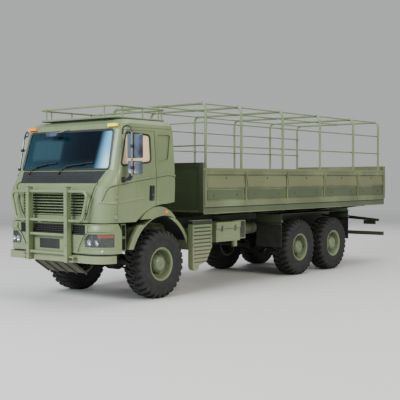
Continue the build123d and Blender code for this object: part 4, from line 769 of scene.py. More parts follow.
cabPlan = {
    # height: front, half width and front corner radius, as the shell has them
    "heights": [1.345, 1.64, 1.93, 2.02, 2.20, 2.86, 2.96, 3.03],
    "fronts": [0.187, 0.168, 0.195, 0.28, 0.40, 0.57, 0.625, 0.745],
    "halves": [1.213, 1.236, 1.25, 1.248, 1.243, 1.198, 1.168, 1.085],
    "corners": [0.27, 0.27, 0.27, 0.21, 0.17, 0.15, 0.145, 0.12],
    # outlines and lines on the front as (x, height), on the side as (station, height)
    "windscreen": [(-1.075, 2.205), (-1.025, 2.855), (1.025, 2.855), (1.075, 2.205)],
    "doorWindow": [(0.520, 2.262), (0.668, 2.800), (1.225, 2.780), (1.222, 2.330)],
    "quarter": [(1.400, 2.310), (1.400, 2.805), (1.755, 2.805), (1.665, 2.370)],
    "belt": [(0.206, 1.690), (0.220, 1.74), (0.238, 1.80), (0.256, 1.86), (0.290, 1.922), (0.340, 1.946),
             (0.417, 1.962), (0.842, 2.026), (1.331, 2.086), (1.62, 2.120), (1.70, 2.122), (1.83, 2.098)],
    "lowLine": [(0.46, 1.664), (0.72, 1.698), (1.055, 1.730)],
    "noseLine": [(0.185, 1.672), (0.28, 1.664), (0.425, 1.661)],
    "mask": [(0.965, 2.005), (0.985, 1.951), (0.950, 1.888), (0.888, 1.741), (0.845, 1.615), (0.800, 1.489),
             (0.735, 1.385)],
    "maskFold": (0.036, 0.002),  # how far the fold lies from the mask's seam
    "grooveDrop": 0.019,  # how far the black strip painted as the shade of the belt's groove lies below the belt
    "doorFront": 0.436,
    "doorRear": 1.338,
    "drip": [(0.66, 2.905), (1.78, 2.905)],
    "cowlHalves": (0.94, 1.02),
    "cowl": (1.985, 2.180),
    "cowlRibs": (2.03, 2.065, 2.10),
    "cowlRibHalf": 0.80,
    "handle": ((1.177, 1.301), (1.687, 1.934)),
    "grip": ((1.2185, 1.2595), (1.692, 1.929)),
    "lock": (0, 1.281, 1.712),
    "badge": ((1.262, 1.297), (1.765, 1.80)),
}
# moulding sections as (out, up)
ribSection = [(-0.007, -0.004), (0.007, -0.004), (0.005, 0.006), (-0.005, 0.006)]
bladeSection = [(-0.009, -0.010), (0.009, -0.010), (0.006, 0.010), (-0.006, 0.010)]
ledgeSection = [(-0.030, -0.002), (0.004, 0.015), (0.010, 0.013), (0.018, -0.002)]


def cornerIn(over, corner, share=0.999):
    # how far a quarter circle has come in, `over` past its start: corner - sqrt(corner² - over²)
    return corner - np.sqrt(corner ** 2 - np.clip(over, 0, corner * share) ** 2)


def cabAt(z):
    return [np.interp(z, cabPlan["heights"], cabPlan[part]) for part in ("fronts", "halves", "corners")]


def onFront(x, z, proud=0.0):
    # the shell's front face: flat in the middle, then a quarter circle of the corner radius to the side
    x, z = np.broadcast_arrays(np.asarray(x, float), np.asarray(z, float))
    front, half, corner = cabAt(z)
    return np.stack([x, front + cornerIn(np.abs(x) - (half - corner), corner) - proud, z], axis=-1)


def onSide(s, z, proud=0.0):
    # the shell's left face, with the same quarter circle at its front
    s, z = np.broadcast_arrays(np.asarray(s, float), np.asarray(z, float))
    front, half, corner = cabAt(z)
    return np.stack([half - cornerIn(front + corner - s, corner) + proud, s, z], axis=-1)


def panel(on, x, z, proud, thick, columns=25, rows=7):
    # a closed panel that follows the surface `on`, between x limits given once or for its foot and its top
    (lowFoot, highFoot), (lowTop, highTop) = np.broadcast_to(x, (2, 2))
    u, v = np.meshgrid(np.linspace(0, 1, columns), np.linspace(0, 1, rows))
    low = lowFoot + v * (lowTop - lowFoot)
    high = highFoot + v * (highTop - highFoot)
    wide, heights = low + u * (high - low), z[0] + v * (z[1] - z[0])
    outer, inner = on(wide, heights, proud), on(wide, heights, proud - thick)
    return surface(np.concatenate([outer, inner[:, ::-1]], axis=1))


def strip(points, wide, thick, side=True, closed=False):
    # a flat moulding on the shell along (station or x, height) points: a rounded bar carried along it
    path = (onSide if side else onFront)(*np.asarray(points, float).T)
    angle = np.arange(12) / 12 * 2 * np.pi
    bar = np.stack([np.sign(np.cos(angle)) * np.abs(np.cos(angle)) ** 0.5 * wide / 2,
                    np.sign(np.sin(angle)) * np.abs(np.sin(angle)) ** 0.7 * thick], axis=-1)
    return carried(path, bar, (1, 0, 0) if side else (0, -1, 0), closed)


def ledge(points):
    # a pressed ledge along the shell's side: a long slope that faces up, over a short one that faces down
    return carried(onSide(*finer(points).T), ledgeSection, (1, 0, 0))


def makeFront():
    pair("mask_seam", [strip(finer(cabPlan["mask"]), 0.014, 0.008, False)], "black")
    pair("mask_fold", [strip(finer(cabPlan["mask"]) + cabPlan["maskFold"], 0.030, 0.011, False)], "cab")
    seal = rounded(cabPlan["windscreen"], 0.07)
    piece("windscreen_seal", [strip(seal, 0.040, 0.010, False, True)], "black")
    low, high = cabPlan["cowlHalves"]
    cowl = [panel(onFront, [(-low, low), (-high, high)], cabPlan["cowl"], 0.010, 0.012, 41, 9)]
    half = cabPlan["cowlRibHalf"]
    cowl += [carried(onFront(np.linspace(-half, half, 41), height, 0.010), ribSection, (0, -1, 0))
             for height in cabPlan["cowlRibs"]]
    piece("cowl_panel", cowl, "cowl", bevel=0.003)
    piece("plate_frame", [block((-0.30, 0.19), (0.1235, 0.1255), (0.905, 1.065))], "black", bevel=0.003)


def makeDoors():
    # the belt moulding runs round the cab's corner and over the door, so it is split at the door's two edges
    belt = finer(cabPlan["belt"])
    station = belt[:, 0]
    ends = [belt[station < cabPlan["doorFront"] - 0.012], belt[station > cabPlan["doorRear"] + 0.014]]
    middle = belt[(station > cabPlan["doorFront"] + 0.004) & (station < cabPlan["doorRear"] - 0.004)]
    drop = (0, cabPlan["grooveDrop"])
    pair("belt_moulding", [strip(part, 0.030, 0.009) for part in ends] + [ledge(cabPlan["noseLine"])], "cab")
    # black strips below the belt: the painted shade of its groove
    pair("belt_groove_shade", [strip(part - drop, 0.010, 0.004) for part in ends], "black")
    pair("door_moulding", [strip(middle, 0.030, 0.009), ledge(cabPlan["lowLine"])], "cab", "door")
    pair("door_groove", [strip(middle - drop, 0.010, 0.004)], "black", "door")
    window, quarter = rounded(cabPlan["doorWindow"], 0.07), rounded(cabPlan["quarter"], 0.05)
    pair("window_seal", [strip(window, 0.034, 0.009, closed=True)], "black", "door")
    pair("quarter_trim", [strip(quarter, 0.018, 0.006, closed=True)], "cab")
    pair("drip_rail", [strip(finer(cabPlan["drip"], 0.05), 0.014, 0.012)], "cab")
    pair("handle_pocket", [softSlab(*cabPlan["handle"], (1.2302, 1.2312), 0.02)], "black", "door")
    pair("door_grip", [softSlab(*cabPlan["grip"], (1.231, 1.2475), 0.014)], "black", "door", bevel=0.004)
    lock = turned([(1.2305, 0.0), (1.2305, 0.011), (1.2375, 0.011), (1.2375, 0.0)], 16, cabPlan["lock"])
    pair("door_lock", [lock, softSlab(*cabPlan["badge"], (1.2305, 1.2345), 0.006)], "steel", "door")


mirrorPlan = {
    # side: how far the head stands back, how the tube leans, and where the tube is across the truck
    "sides": {"left": (0.0, 0.0, 1.455), "right": (0.400, 0.160 / 0.787, 1.380)},
    # the main head and the small one: glass and shell as x and height limits
    "glasses": [((1.335, 1.575), (2.395, 2.745)), ((1.345, 1.565), (2.135, 2.320))],
    "shells": [((1.332, 1.578), (2.395, 2.745)), ((1.342, 1.568), (2.135, 2.322))],
    "glassFace": (0.6505, 0.6535),
    "shellFace": (0.5635, 0.5795),
    "foot": (0.54, 2.035),  # station and height of the tube's foot
    "tube": (2.10, 2.77),
    "clamps": (2.225, 2.570),
}


def makeMirrors(side):
    # a glass at the back of each head, a bright tube in front with clamps; the right set stands further back
    back, lean, out = mirrorPlan["sides"][side]
    base, level = mirrorPlan["foot"]

    def add(name, shapes, look, bevel=0.0):
        piece(f"mirror_{name}_{side}", sided(shapes, side), look, f"door_{side}", bevel=bevel)

    def tubeAt(height):
        return base + (height - level) * lean

    rear = [face + back for face in mirrorPlan["glassFace"]]
    add("glass", [softSlab(x, z, rear, 0.03, "xz") for x, z in mirrorPlan["glasses"]], "mirror")
    low, high = mirrorPlan["tube"]
    add("tube", [rod((out, tubeAt(low), low), (out, tubeAt(high), high), 0.0165, 16)], "steel")
    face = [face + back for face in mirrorPlan["shellFace"]]
    head, skirt = (softSlab(x, z, face, 0.04, "xz") for x, z in mirrorPlan["shells"])
    # the shells' navy and pale grey are a painted sky reflection on black plastic
    add("shell", [head], "navy", 0.005)
    add("skirt", [skirt], "pale", 0.005)
    clamps = [block(about(out, 0.025), (tubeAt(z) - 0.022, tubeAt(z) + 0.024), about(z, 0.025))
              for z in mirrorPlan["clamps"]]
    add("clamps", clamps, "black", 0.003)
    knee = [(1.262, 0.545, level), (out - 0.09, 0.545, 2.045), (out - 0.01, 0.545 + 0.02 * lean, 2.135)]
    add("foot", [block((1.244, 1.262), (0.505, 0.585), (1.990, 2.080)),
                 carried(softPath(knee, 0.05), circle(0.030, 12) * (1.0, 0.75))], "black", 0.006)
    top = base + 0.76 * lean
    bow = [(1.2205, 0.56 + back * 0.3, 2.770), (1.245, 0.55 + back * 0.3, 2.895),
           (out - 0.05, top + 0.005, 2.905), (out, top, 2.800)]
    add("bow", [pipe(softPath(bow, 0.09), 0.0125, (0, 1, 0))], "black")


wiperPlan = {
    "pivots": ((-0.82, 0.62), (-0.06, 0.76)),  # x of each spindle and the reach of its blade
    "spindle": 2.150,
    "bladeStart": 0.10,
    "bladeRise": (2.246, 0.078, 0.014),  # the blade's foot, its rise over its length and its bow
}


def makeWipers():
    # on each spindle a cranked arm and a rubber blade that bows a little, lying low across the glass
    foot, start = wiperPlan["spindle"], wiperPlan["bladeStart"]
    low, rise, swell = wiperPlan["bladeRise"]
    share = np.linspace(0, 1, 21)
    height = low + rise * share + swell * np.sin(math.pi * share)
    shapes = []
    for pivot, reach in wiperPlan["pivots"]:
        line = np.array([(0.0, foot), (0.03, 2.212), (0.19, 2.279), (reach - 0.22, 2.300)]) + (pivot, 0)
        shapes.append(pipe(softPath(onFront(*line.T, 0.034), 0.05), 0.0095, (0, -1, 0), 8))
        blade = onFront(pivot + start + share * (reach - start), height, 0.014)
        shapes.append(carried(blade, bladeSection, (0, -1, 0)))
        shapes.append(rod(onFront(pivot, foot, -0.005), onFront(pivot, foot, 0.050), 0.018))
    made = piece("wiper_arms", shapes, "black", angle=50)
    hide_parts("wipers")


makeFront()
makeDoors()
makeMirrors("left")
makeMirrors("right")
makeWipers()
print("cab trim made")


# nose: bumper, lamps, guard and grille

bumperPlan = {
    "front": 0.130,
    "half": 1.240,
    "corner": 0.330,
    "intake": (0.800, 1.150, 1.318),  # half width, foot and top
    "seam": [(0.630, 0.872), (0.655, 0.930), (0.685, 0.995), (0.735, 1.080), (0.800, 1.145), (0.852, 1.190),
             (0.866, 1.250), (0.870, 1.318)],
    "foldOut": 0.030,
    # creases on the bumper: half widths at foot and top, heights, how proud, how thick, columns, rows
    "creases": [((0.735, 0.745), (1.098, 1.128), 0.003, 0.006, 25, 7),
                ((1.235, 1.235), (0.862, 0.874), 0.006, 0.010, 61, 3),
                ((1.235, 1.235), (1.312, 1.326), 0.006, 0.010, 61, 3)],
    "lips": (-0.82, 0.82),
    "lipHeight": 0.010,
    "shadow": (1.225, (0.818, 0.851)),
    "brow": [(1.306, 0.001), (1.268, 0.010), (1.222, 0.024), (1.208, 0.023), (1.196, 0.004), (1.196, -0.012),
             (1.306, -0.012)],  # (height, how proud)
    "clips": ((0.585, 0.94), (0.600, 1.03), (0.640, 1.11)),
    "bolt": (0.011, 0.010, 0.006, 0.006),
}
seamSection = [(-0.006, -0.003), (0.006, -0.003), (0.006, 0.0045), (-0.006, 0.0045)]


def onBumper(x, z, proud=0.0):
    # the bumper's wrapped front: flat, then a quarter circle to its side
    x, z = np.broadcast_arrays(np.asarray(x, float), np.asarray(z, float))
    half, corner = bumperPlan["half"], bumperPlan["corner"]
    inward = cornerIn(np.abs(x) - (half - corner), corner, 0.9995)
    return np.stack([x, bumperPlan["front"] + inward - proud, z], axis=-1)


def bolt(radius, height, edge, crown):
    # a bolt's head that stands on the plane x = 0: a straight edge, then a slope to a top of radius `crown`
    return turned([(0.0, 0.0), (0.0, radius), (edge, radius), (height, crown), (height, 0.0)], 6)


def forward(shape, place=(0, 0, 0), size=1.0):
    # turns a shape made along x towards the nose
    return laid(shape, (1, 0, 2), (size, -size, size), place)


lampPlan = {
    "in": (0.800, 0.760),  # x of the lamp's inner edge at its foot and at its top
    "end": 1.226,
    "heights": (0.960, 1.170),
    "wall": 0.007,
    "corner": ([(1.060, 1.218), (1.040, 1.218)], (1.108, 1.160), -0.006, 0.014, 13, 5),
    "bulb": [(0.0, 0.0), (0.0, 0.016), (0.02, 0.011), (0.02, 0.0)],
    "fogProfile": [(0.0, 0.0), (0.0, 0.020), (0.012, 0.018), (0.016, 0.010), (0.016, 0.0)],
    "bars": ((0.962, 0.970), (1.090, 1.098)),
    "bowls": ((0.885, 0.056, 1.030), (1.030, 0.048, 1.036)),  # x, radius, height
    "bowlDepth": 0.030,
    "fog": (1.11, 0.898),
}


def bowl(centre, radius, depth, count=24):
    # a parabolic reflector that opens towards the nose: its depth falls with the square of the radius
    r = np.linspace(0.0, 1.0, 7)[:, None]
    angle = np.arange(count) / count * 2 * np.pi
    x, z = centre[0] + radius * r * np.cos(angle), centre[2] + radius * r * np.sin(angle)
    s = np.broadcast_to(centre[1] + depth * (1 - r ** 2), x.shape)
    front, back = np.stack([x, s, z], axis=-1), np.stack([x, s + 0.003, z], axis=-1)
    return surface(np.concatenate([front, back[::-1]]), False)


def makeHeadlamps():
    # housing, two bowls, a brown corner and a clear skin flush with the bumper, in place of the plain block
    (inFoot, inTop), end, (low, high) = (lampPlan[part] for part in ("in", "end", "heights"))
    inner = (low + lampPlan["wall"], high - lampPlan["wall"])
    housing = [panel(onBumper, [(inFoot, end), (inTop, end)], (low, high), -0.046, 0.004),
               panel(onBumper, [(inFoot, end), (inFoot - 0.0015, end)], (low, inner[0]), -0.004, 0.044),
               panel(onBumper, [(inTop + 0.0015, end), (inTop, end)], (inner[1], high), -0.004, 0.044)]
    housing += [panel(onBumper, x, inner, -0.008, 0.040) for x in lampPlan["bars"]]
    housing.append(panel(onBumper, (end - 0.004, end), (low, high), -0.004, 0.044))
    made = pair("lamp_housing", housing, "black", slot="black_trim")[0]
    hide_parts("headlamps")
    bowls = []
    for x, radius, height in lampPlan["bowls"]:
        place = onBumper(x, height, -0.012)
        bulb = turned(lampPlan["bulb"], 12, (x - 0.01, place[1] + 0.012, height))
        bowls += [bowl(place, radius, lampPlan["bowlDepth"]), bulb]
    pair("lamp_reflectors", bowls, "chrome")
    pair("corner_lamp", [panel(onBumper, *lampPlan["corner"])], "brown")
    skin = [(inFoot + 0.001, end - 0.001), (inTop + 0.001, end - 0.001)]
    pair("lamp_skin", [panel(onBumper, skin, (low + 0.001, high - 0.001), -0.001, 0.004)], "clear")
    fog = forward(turned(lampPlan["fogProfile"], 20), onBumper(*lampPlan["fog"], -0.012))
    pair("fog_lamp", [fog], "lens")


def makeIntake():
    # a fine mesh behind five bars, between two lips
    half, low, high = bumperPlan["intake"]
    wide, margin = (-half, half), 0.02
    bar = block((-0.004, 0.004), (0.140, 0.158), (low, high))
    mesh = [block(wide, (0.158, 0.1598), (low, high)),
            repeated(bar, [(x, 0, 0) for x in np.linspace(margin - half, half - margin, 41)])]
    mesh += [block(wide, (0.136, 0.150), about(z, 0.006))
             for z in np.linspace(low + margin, high - margin, 5)]
    piece("intake_mesh", mesh, "black")
    lip = bumperPlan["lipHeight"]
    lips = [panel(onBumper, bumperPlan["lips"], heights, 0.004, 0.008)
            for heights in ((high, high + lip), (low - lip, low))]
    piece("intake_lips", lips, "cab", bevel=0.002)


def makeBumper():
    # pressed creases, the seam and fold of each lamp pod, a brow over each lamp, and a black strip of painted
    # shadow in the gap at the foot
    creases = [panel(onBumper, [(-foot, foot), (-top, top)], *rest)
               for (foot, top), *rest in bumperPlan["creases"]]
    piece("bumper_creases", creases, "cab")
    seams, folds = [], []
    for side in (-1, 1):
        line = finer(bumperPlan["seam"]) * (side, 1)
        seams.append(carried(onBumper(*line.T), seamSection, (0, -1, 0)))
        line[:, 0] += side * bumperPlan["foldOut"]
        folds.append(carried(onBumper(*line.T), circle(0.012, 12), (0, -1, 0)))
    piece("bumper_seams", seams, "black")
    piece("pod_folds", folds, "cab")
    height, proud = np.array(bumperPlan["brow"]).T
    brow = surface(np.array([onBumper(x, height, proud) for x in np.linspace(0.884, 1.234, 31)]))
    sill = panel(onBumper, [(0.700, 1.232), (0.720, 1.232)], (0.935, 0.957), 0.009, 0.013, 31, 5)
    piece("lamp_brows", both([brow, sill]), "cab")
    half, heights = bumperPlan["shadow"]
    piece("bumper_shadow", [panel(onBumper, (-half, half), heights, -0.030, 0.012, 61, 3)], "black")
    clip = bolt(*bumperPlan["bolt"])
    piece("bumper_clips", [forward(clip, onBumper(side * x, z, -0.001), 0.8) for side in (-1, 1)
                           for x, z in bumperPlan["clips"]], "frame")


brushPlan = {
    "x": 0.475,
    "bolts": (0.80, 0.98, 1.24, 1.45, 1.78),
    "cap": ((0.436, 0.514), (0.0, 0.104), (1.916, 1.926)),
    "feet": [((0.425, 0.525), (0.098, 0.108), (0.72, 0.80)), ((0.425, 0.525), (0.112, 0.132), (1.20, 1.30))],
}


def makeBrushGuard():
    # bolts down the guard's two posts, a cap on each and its feet on the bumper
    spots = [(x, 0.0, z) for x in (-brushPlan["x"], brushPlan["x"]) for z in brushPlan["bolts"]]
    piece("guard_bolts", [repeated(forward(bolt(*bumperPlan["bolt"])), spots)], "steel")
    piece("guard_caps", both([block(*brushPlan["cap"])]), "black", bevel=0.004)
    piece("guard_feet", both([block(*foot) for foot in brushPlan["feet"]]), "frame", bevel=0.003)


grillePlan = {
    "heights": np.linspace(1.468, 1.806, 8),
    "half": 0.785,
    "station": 0.208,
    "slat": [(-0.022, -0.007), (-0.024, -0.001), (-0.018, 0.005), (-0.004, 0.007), (0.030, 0.008),
             (0.030, 0.003), (0.0, -0.003)],  # (station, height)
    "rim": ((-0.792, 1.440), (0.792, 1.834)),
    "rimSection": [(-0.010, -0.030), (0.010, -0.030), (0.009, 0.004), (-0.009, 0.004)],
    "rimStation": 0.186,
    "back": ((-0.788, 0.788), (0.238, 0.242), (1.443, 1.831)),
    "bar": ((-0.003, 0.003), (0.230, 0.238), (1.445, 1.829)),
    "bars": [(x, 0, 0) for x in np.linspace(-0.765, 0.765, 35)],
}


def makeGrille():
    # slats with rounded noses carried across the opening, in a rim, over a dark mesh
    slat = np.array(grillePlan["slat"]) + (grillePlan["station"], 0)
    bar = slab(slat, np.linspace(-grillePlan["half"], grillePlan["half"], 33))
    slats = [laid(bar, place=(0, 0, height)) for height in grillePlan["heights"]]
    made = piece("grille_slats", slats, "cab", slot="body_paint")
    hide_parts("grille")
    x, z = rounded(box(*grillePlan["rim"]), 0.03).T
    path = np.stack([x, np.full(len(x), grillePlan["rimStation"]), z], axis=-1)
    piece("grille_rim", [carried(path, grillePlan["rimSection"], (0, -1, 0), True)], "cab")
    mesh = [block(*grillePlan["back"]), repeated(block(*grillePlan["bar"]), grillePlan["bars"])]
    piece("grille_mesh", mesh, "black")


makeHeadlamps()
makeIntake()
makeBumper()
makeBrushGuard()
makeGrille()
print("nose made")


# bed, tailgate and tilt frame

bedPlan = {
    "posts": [2.645, 3.920, 5.370, 6.870, 8.390, 9.740],
    "postHalf": (0.050, 0.070),  # from a post's middle to its board, for the inner posts and the two end ones
    "outside": 1.250,
    # sections as (distance out from the bed's outside, height)
    "upperBoard": [(-0.030, 2.105), (-0.012, 2.108), (0.006, 1.905), (0.003, 1.893), (-0.030, 1.890)],
    "lowerBoard": [(-0.034, 1.840), (-0.020, 1.836), (-0.016, 1.672), (-0.034, 1.668)],
    "topRail": [(1.190, 2.225), (1.190, 2.248), (1.256, 2.248),
                (1.256, 2.200), (1.248, 2.200), (1.246, 2.225)],
    "topRailEnds": (2.600, 9.738),
    "endPlates": ((2.647, 2.690), (9.695, 9.738)),  # stations of the plates on the two end posts
    "plateFoot": 1.565,
    "plateTops": (2.20, 2.232),  # of the inner posts' plates and of the end ones
    "latch": (2.06, 2.17, 2.155),  # foot, top and the height of its pin
}


def hexHead(radius, height):
    # a small bolt head on the left face, its axis across the truck
    return bolt(radius, height, height * 0.7, radius * 0.7)


def makeBoards():
    # each bay has an upper board that leans out towards its foot, over a shallow lower board
    outside, posts, (inner, outer) = (bedPlan[part] for part in ("outside", "posts", "postHalf"))
    upper, lower = (np.array(bedPlan[part]) + (outside, 0) for part in ("upperBoard", "lowerBoard"))
    boards, lowBoards, bolts = [], [], []
    for start, end in zip(posts[:-1], posts[1:]):
        near = start + (outer if start == posts[0] else inner)
        far = end - (outer if end == posts[-1] else inner)
        boards.append(slab(upper, (near, far), "xz"))
        lowBoards.append(slab(lower, (near + 0.03, far - 0.03), "xz"))
        middle, shift = (near + far) / 2, (far - near) / 3.2
        bolts += [(outside - 0.008, middle, 2.062), (outside - 0.020, middle - shift, 1.750),
                  (outside - 0.020, middle + shift, 1.750)]
    # painted light and shade: the upper boards in the lighter bed olive, the lower boards in the darker one,
    # and the bolt heads in a darker olive
    pair("upper_boards", boards, "bedLight", bevel=0.004)
    pair("lower_boards", lowBoards, "bedDark", bevel=0.003)
    pair("board_bolts", [repeated(hexHead(0.020, 0.014), bolts)], "well")


def makePosts():
    # a plate on each post, a latch with its pin on the inner ones, and the rail along the top
    outside, posts, foot = bedPlan["outside"], bedPlan["posts"][1:-1], bedPlan["plateFoot"]
    (inner, outer), (low, high, pin) = bedPlan["plateTops"], bedPlan["latch"]
    face = (outside - 0.002, outside + 0.008)
    plates = [block(face, about(station, 0.020), (foot, inner)) for station in posts]
    plates += [block(face, ends, (foot, outer)) for ends in bedPlan["endPlates"]]
    pair("post_plates", plates, "bed", bevel=0.004)
    latches = []
    for station in posts:
        latches += [block((outside + 0.006, outside + 0.022), about(station, 0.012), (low, high)),
                    stub((outside + 0.014, station, pin), "s", 0.03, 0.008)]
    pair("side_latches", latches, "bed", bevel=0.002)
    rail = slab(rounded(bedPlan["topRail"], 0.006), bedPlan["topRailEnds"], "xz")
    # the top rail is in the lighter bed olive, painted light
    pair("top_rail", [rail], "bedLight", bevel=0.002)


edgePlan = {
    # piece on both sides: its blocks as x limits, stations and heights, then finish and bevel
    "rail_lips": ([((1.246, 1.256), (2.605, 9.735), (1.535, 1.562)),
                   ((1.246, 1.254), (2.605, 9.735), (1.408, 1.424))], "bed", 0.003),
    # painted shade: the rail's face in the darker bed olive, a black line under the lip, the headboard's
    # border in a darker olive
    "rail_face": ([((1.2485, 1.2515), (2.602, 9.738), (1.4235, 1.516))], "bedDark", 0.0),
    "rail_shadow": ([((1.2485, 1.2510), (2.602, 9.738), (1.516, 1.5355))], "black", 0.0),
    "headboard_border": ([((1.135, 1.249), (2.5935, 2.6005), (1.445, 2.300)),
                          ((-0.001, 1.249), (2.5935, 2.6005), (2.298, 2.341))], "well", 0.002),
}

floorPlan = {
    "height": 1.560,
    "reach": (2.66, 9.73),
    # x of the middles, half width, thickness
    "strips": (np.linspace(-1.0, 1.0, 6), 0.018, 0.0045),
    "seams": (np.linspace(-1.1, 1.1, 12), 0.0025, 0.0006),
    "bearers": [2.990, 4.060, 5.230, 6.380, 7.530, 8.700],
    "bracket": ((1.20, 1.246), 0.055, (1.395, 1.411)),  # x limits, half length, heights
    "headboard": ((-1.25, 1.25), (2.594, 2.601), ((2.315, 2.345), (1.44, 1.47))),  # heights of its two edges
}


def makeFloor():
    # lips and shadow lines on the rails, steel strips and seams between the boards, brackets under the rails
    for name, (blocks, look, bevel) in edgePlan.items():
        pair(name, [block(*limits) for limits in blocks], look, bevel=bevel)
    floor = floorPlan["height"]
    for name, look, bevel in (("strips", "steel", 0.001), ("seams", "black", 0.0)):
        middles, half, thick = floorPlan[name]
        bars = [block(about(x, half), floorPlan["reach"], (floor, floor + thick)) for x in middles]
        piece(f"floor_{name}", bars, look, bevel=bevel)
    x, half, heights = floorPlan["bracket"]
    brackets = [block(x, about(station, half), heights) for station in floorPlan["bearers"]]
    piece("bearer_brackets", both(brackets), "frame", bevel=0.003)
    x, face, edges = floorPlan["headboard"]
    piece("headboard_edges", [block(x, face, heights) for heights in edges], "bed", bevel=0.003)


gatePlan = {
    "ribs": ((-0.915, -0.305, 0.305, 0.915), (1.74, 1.95, 2.16)),  # x and height of the pressed ribs
    "ribHalf": (0.20, 0.018),
    "ribFace": (9.783, 9.795),
    "straps": (-1.0, 0.0, 1.0),
    "strap": (0.030, (9.798, 9.806), (1.56, 1.80)),  # half width, stations, heights
    "latch": ((1.205, 1.245), (9.796, 9.812), (2.16, 2.30)),
    "latchPin": ((1.225, 9.818, 2.17), (1.225, 9.818, 2.29), 0.009),
}


def makeTailgate():
    # pressed ribs, hinge straps and corner latches on the gate's outside
    (middles, heights), (wide, tall) = gatePlan["ribs"], gatePlan["ribHalf"]
    ribs = [softSlab(about(x, wide), about(z, tall), gatePlan["ribFace"], tall, "xz")
            for x in middles for z in heights]
    # the ribs are in the lighter bed olive, painted light
    piece("tailgate_ribs", ribs, "bedLight", "tailgate", bevel=0.004)
    half, *strap = gatePlan["strap"]
    straps = [block(about(x, half), *strap) for x in gatePlan["straps"]]
    piece("tailgate_straps", straps, "frame", "tailgate", bevel=0.002)
    latch = [block(*gatePlan["latch"]), rod(*gatePlan["latchPin"])]
    piece("tailgate_latches", both(latch), "steel", "tailgate", bevel=0.002)


tiltPlan = {
    "bows": [2.767, 3.868, 5.313, 6.802, 8.309, 9.573],
    "x": 1.1697,
    "axis": 3.425,
    "foot": 1.562,
    "bend": 0.13,
    "bow": 0.025,  # radii of a bow and of a rail
    "rail": 0.014,
    "rails": (-1.07, 0.0, 1.07),
    "stringers": [2.660, 3.080],  # heights of the side bars
    # half length and radius of the sleeves and of the clamps; top and radius of the feet
    "sleeve": (0.035, 0.0295),
    "clamp": (0.028, 0.0285),
    "footSleeve": (1.72, 0.033),
}


def makeTilt():
    # smooth bows with sleeves where the rails cross them, feet on the bed and clamps on the side bars
    half, axis, foot, rail = (tiltPlan[part] for part in ("x", "axis", "foot", "rail"))
    first, last = tiltPlan["bows"][0], tiltPlan["bows"][-1]
    bows, sleeves, clamps, feet = [], [], [], []
    for station in tiltPlan["bows"]:
        corners = [(x, station, z) for x, z in ((-half, foot), (-half, axis), (half, axis), (half, foot))]
        path = finer(softPath(corners, tiltPlan["bend"], 10), 0.12)
        bows.append(pipe(path, tiltPlan["bow"], (0, 1, 0), 16))
        sleeves += [stub((x, station, axis), "x", *tiltPlan["sleeve"], 16) for x in tiltPlan["rails"]]
        for x in (-half, half):
            top, radius = tiltPlan["footSleeve"]
            feet.append(rod((x, station, foot), (x, station, top), radius, 16))
            feet.append(block((x - 0.055, x + 0.022), about(station, 0.055), (foot - 0.001, 1.573)))
            clamps += [stub((x, station, z), "z", *tiltPlan["clamp"], 16) for z in tiltPlan["stringers"]]
    bows += [rod((-half, first, z), (half, first, z), rail) for z in tiltPlan["stringers"]]
    made = piece("tilt_hoops", bows, "tilt", slot="body_paint", angle=50)
    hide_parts("tilt_bows")
    piece("rail_sleeves", sleeves + clamps, "tilt")
    piece("bow_feet", feet, "frame", bevel=0.002)
    bars = [rod((x, first + 0.024, axis), (x, last - 0.024, axis), rail) for x in tiltPlan["rails"]]
    side = half - tiltPlan["bow"] - 0.0003 - rail
    bars += [rod((x, first + 0.0143, z), (x, last + 0.025, z), rail)
             for x in (-side, side) for z in tiltPlan["stringers"]]
    made = piece("tilt_bars", bars, "tilt", slot="body_paint")
    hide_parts("tilt_rails")


makeBoards()
makePosts()
makeFloor()
makeTailgate()
makeTilt()
print("bed and tilt frame made")


# fenders, boxes, tanks and guards along the sides

archPlan = {
    "middle": (1.548, 0.620),  # station and height of the arch's centre
    # name: section as (x, radius), first and last angle in degrees, rows, finish
    "bands": {
        # the two black bands are painted shade under the arch
        "arch_shade_inner": (box((0.722, 0.7995), (1.085, 0.8045)), 25, 153, 64, "black"),
        "arch_shade_outer": (box((1.085, 0.8000), (1.178, 0.8045)), 72, 126, 28, "black"),
        "fender_bead": ([(1.082, 0.8005), (1.104, 0.8005), (1.107, 0.808), (1.104, 0.862), (1.096, 0.866),
                         (1.088, 0.862), (1.086, 0.822), (1.082, 0.818)], 12, 66, 40, "cab"),
    },
    "bead": ([(1.2405, 0.812)], 71, 155, 60),
    "steps": (0.9015, 1.124),
}


def archBand(section, start, end, count):
    # a section carried round the arch: point = (x, station + radius*cos(angle), height + radius*sin(angle))
    x, radius = np.array(section, float).T
    angle = np.linspace(math.radians(start), math.radians(end), count)[:, None]
    station, height = archPlan["middle"]
    s, z = station + radius * np.cos(angle), height + radius * np.sin(angle)
    return np.stack([np.broadcast_to(x, s.shape), s, z], axis=-1)


def makeFenders():
    # black bands of painted shade under each arch, a bead on its outer edge, a flange behind, and ribbed
    # treads on the steps
    for name, (*band, look) in archPlan["bands"].items():
        pair(name, [surface(archBand(*band))], look)
    pair("arch_bead", [pipe(archBand(*archPlan["bead"])[:, 0], 0.008, (1, 0, 0))], "cab")
    treads = []
    for height in archPlan["steps"]:
        rib = block((1.150, 1.213), (-0.004, 0.004), (height + 0.004, height + 0.010))
        treads += [block((1.146, 1.214), (0.534, 0.621), (height, height + 0.004)),
                   repeated(rib, [(0, station, 0) for station in np.linspace(0.545, 0.610, 5)])]
    pair("step_treads", treads, "frame")


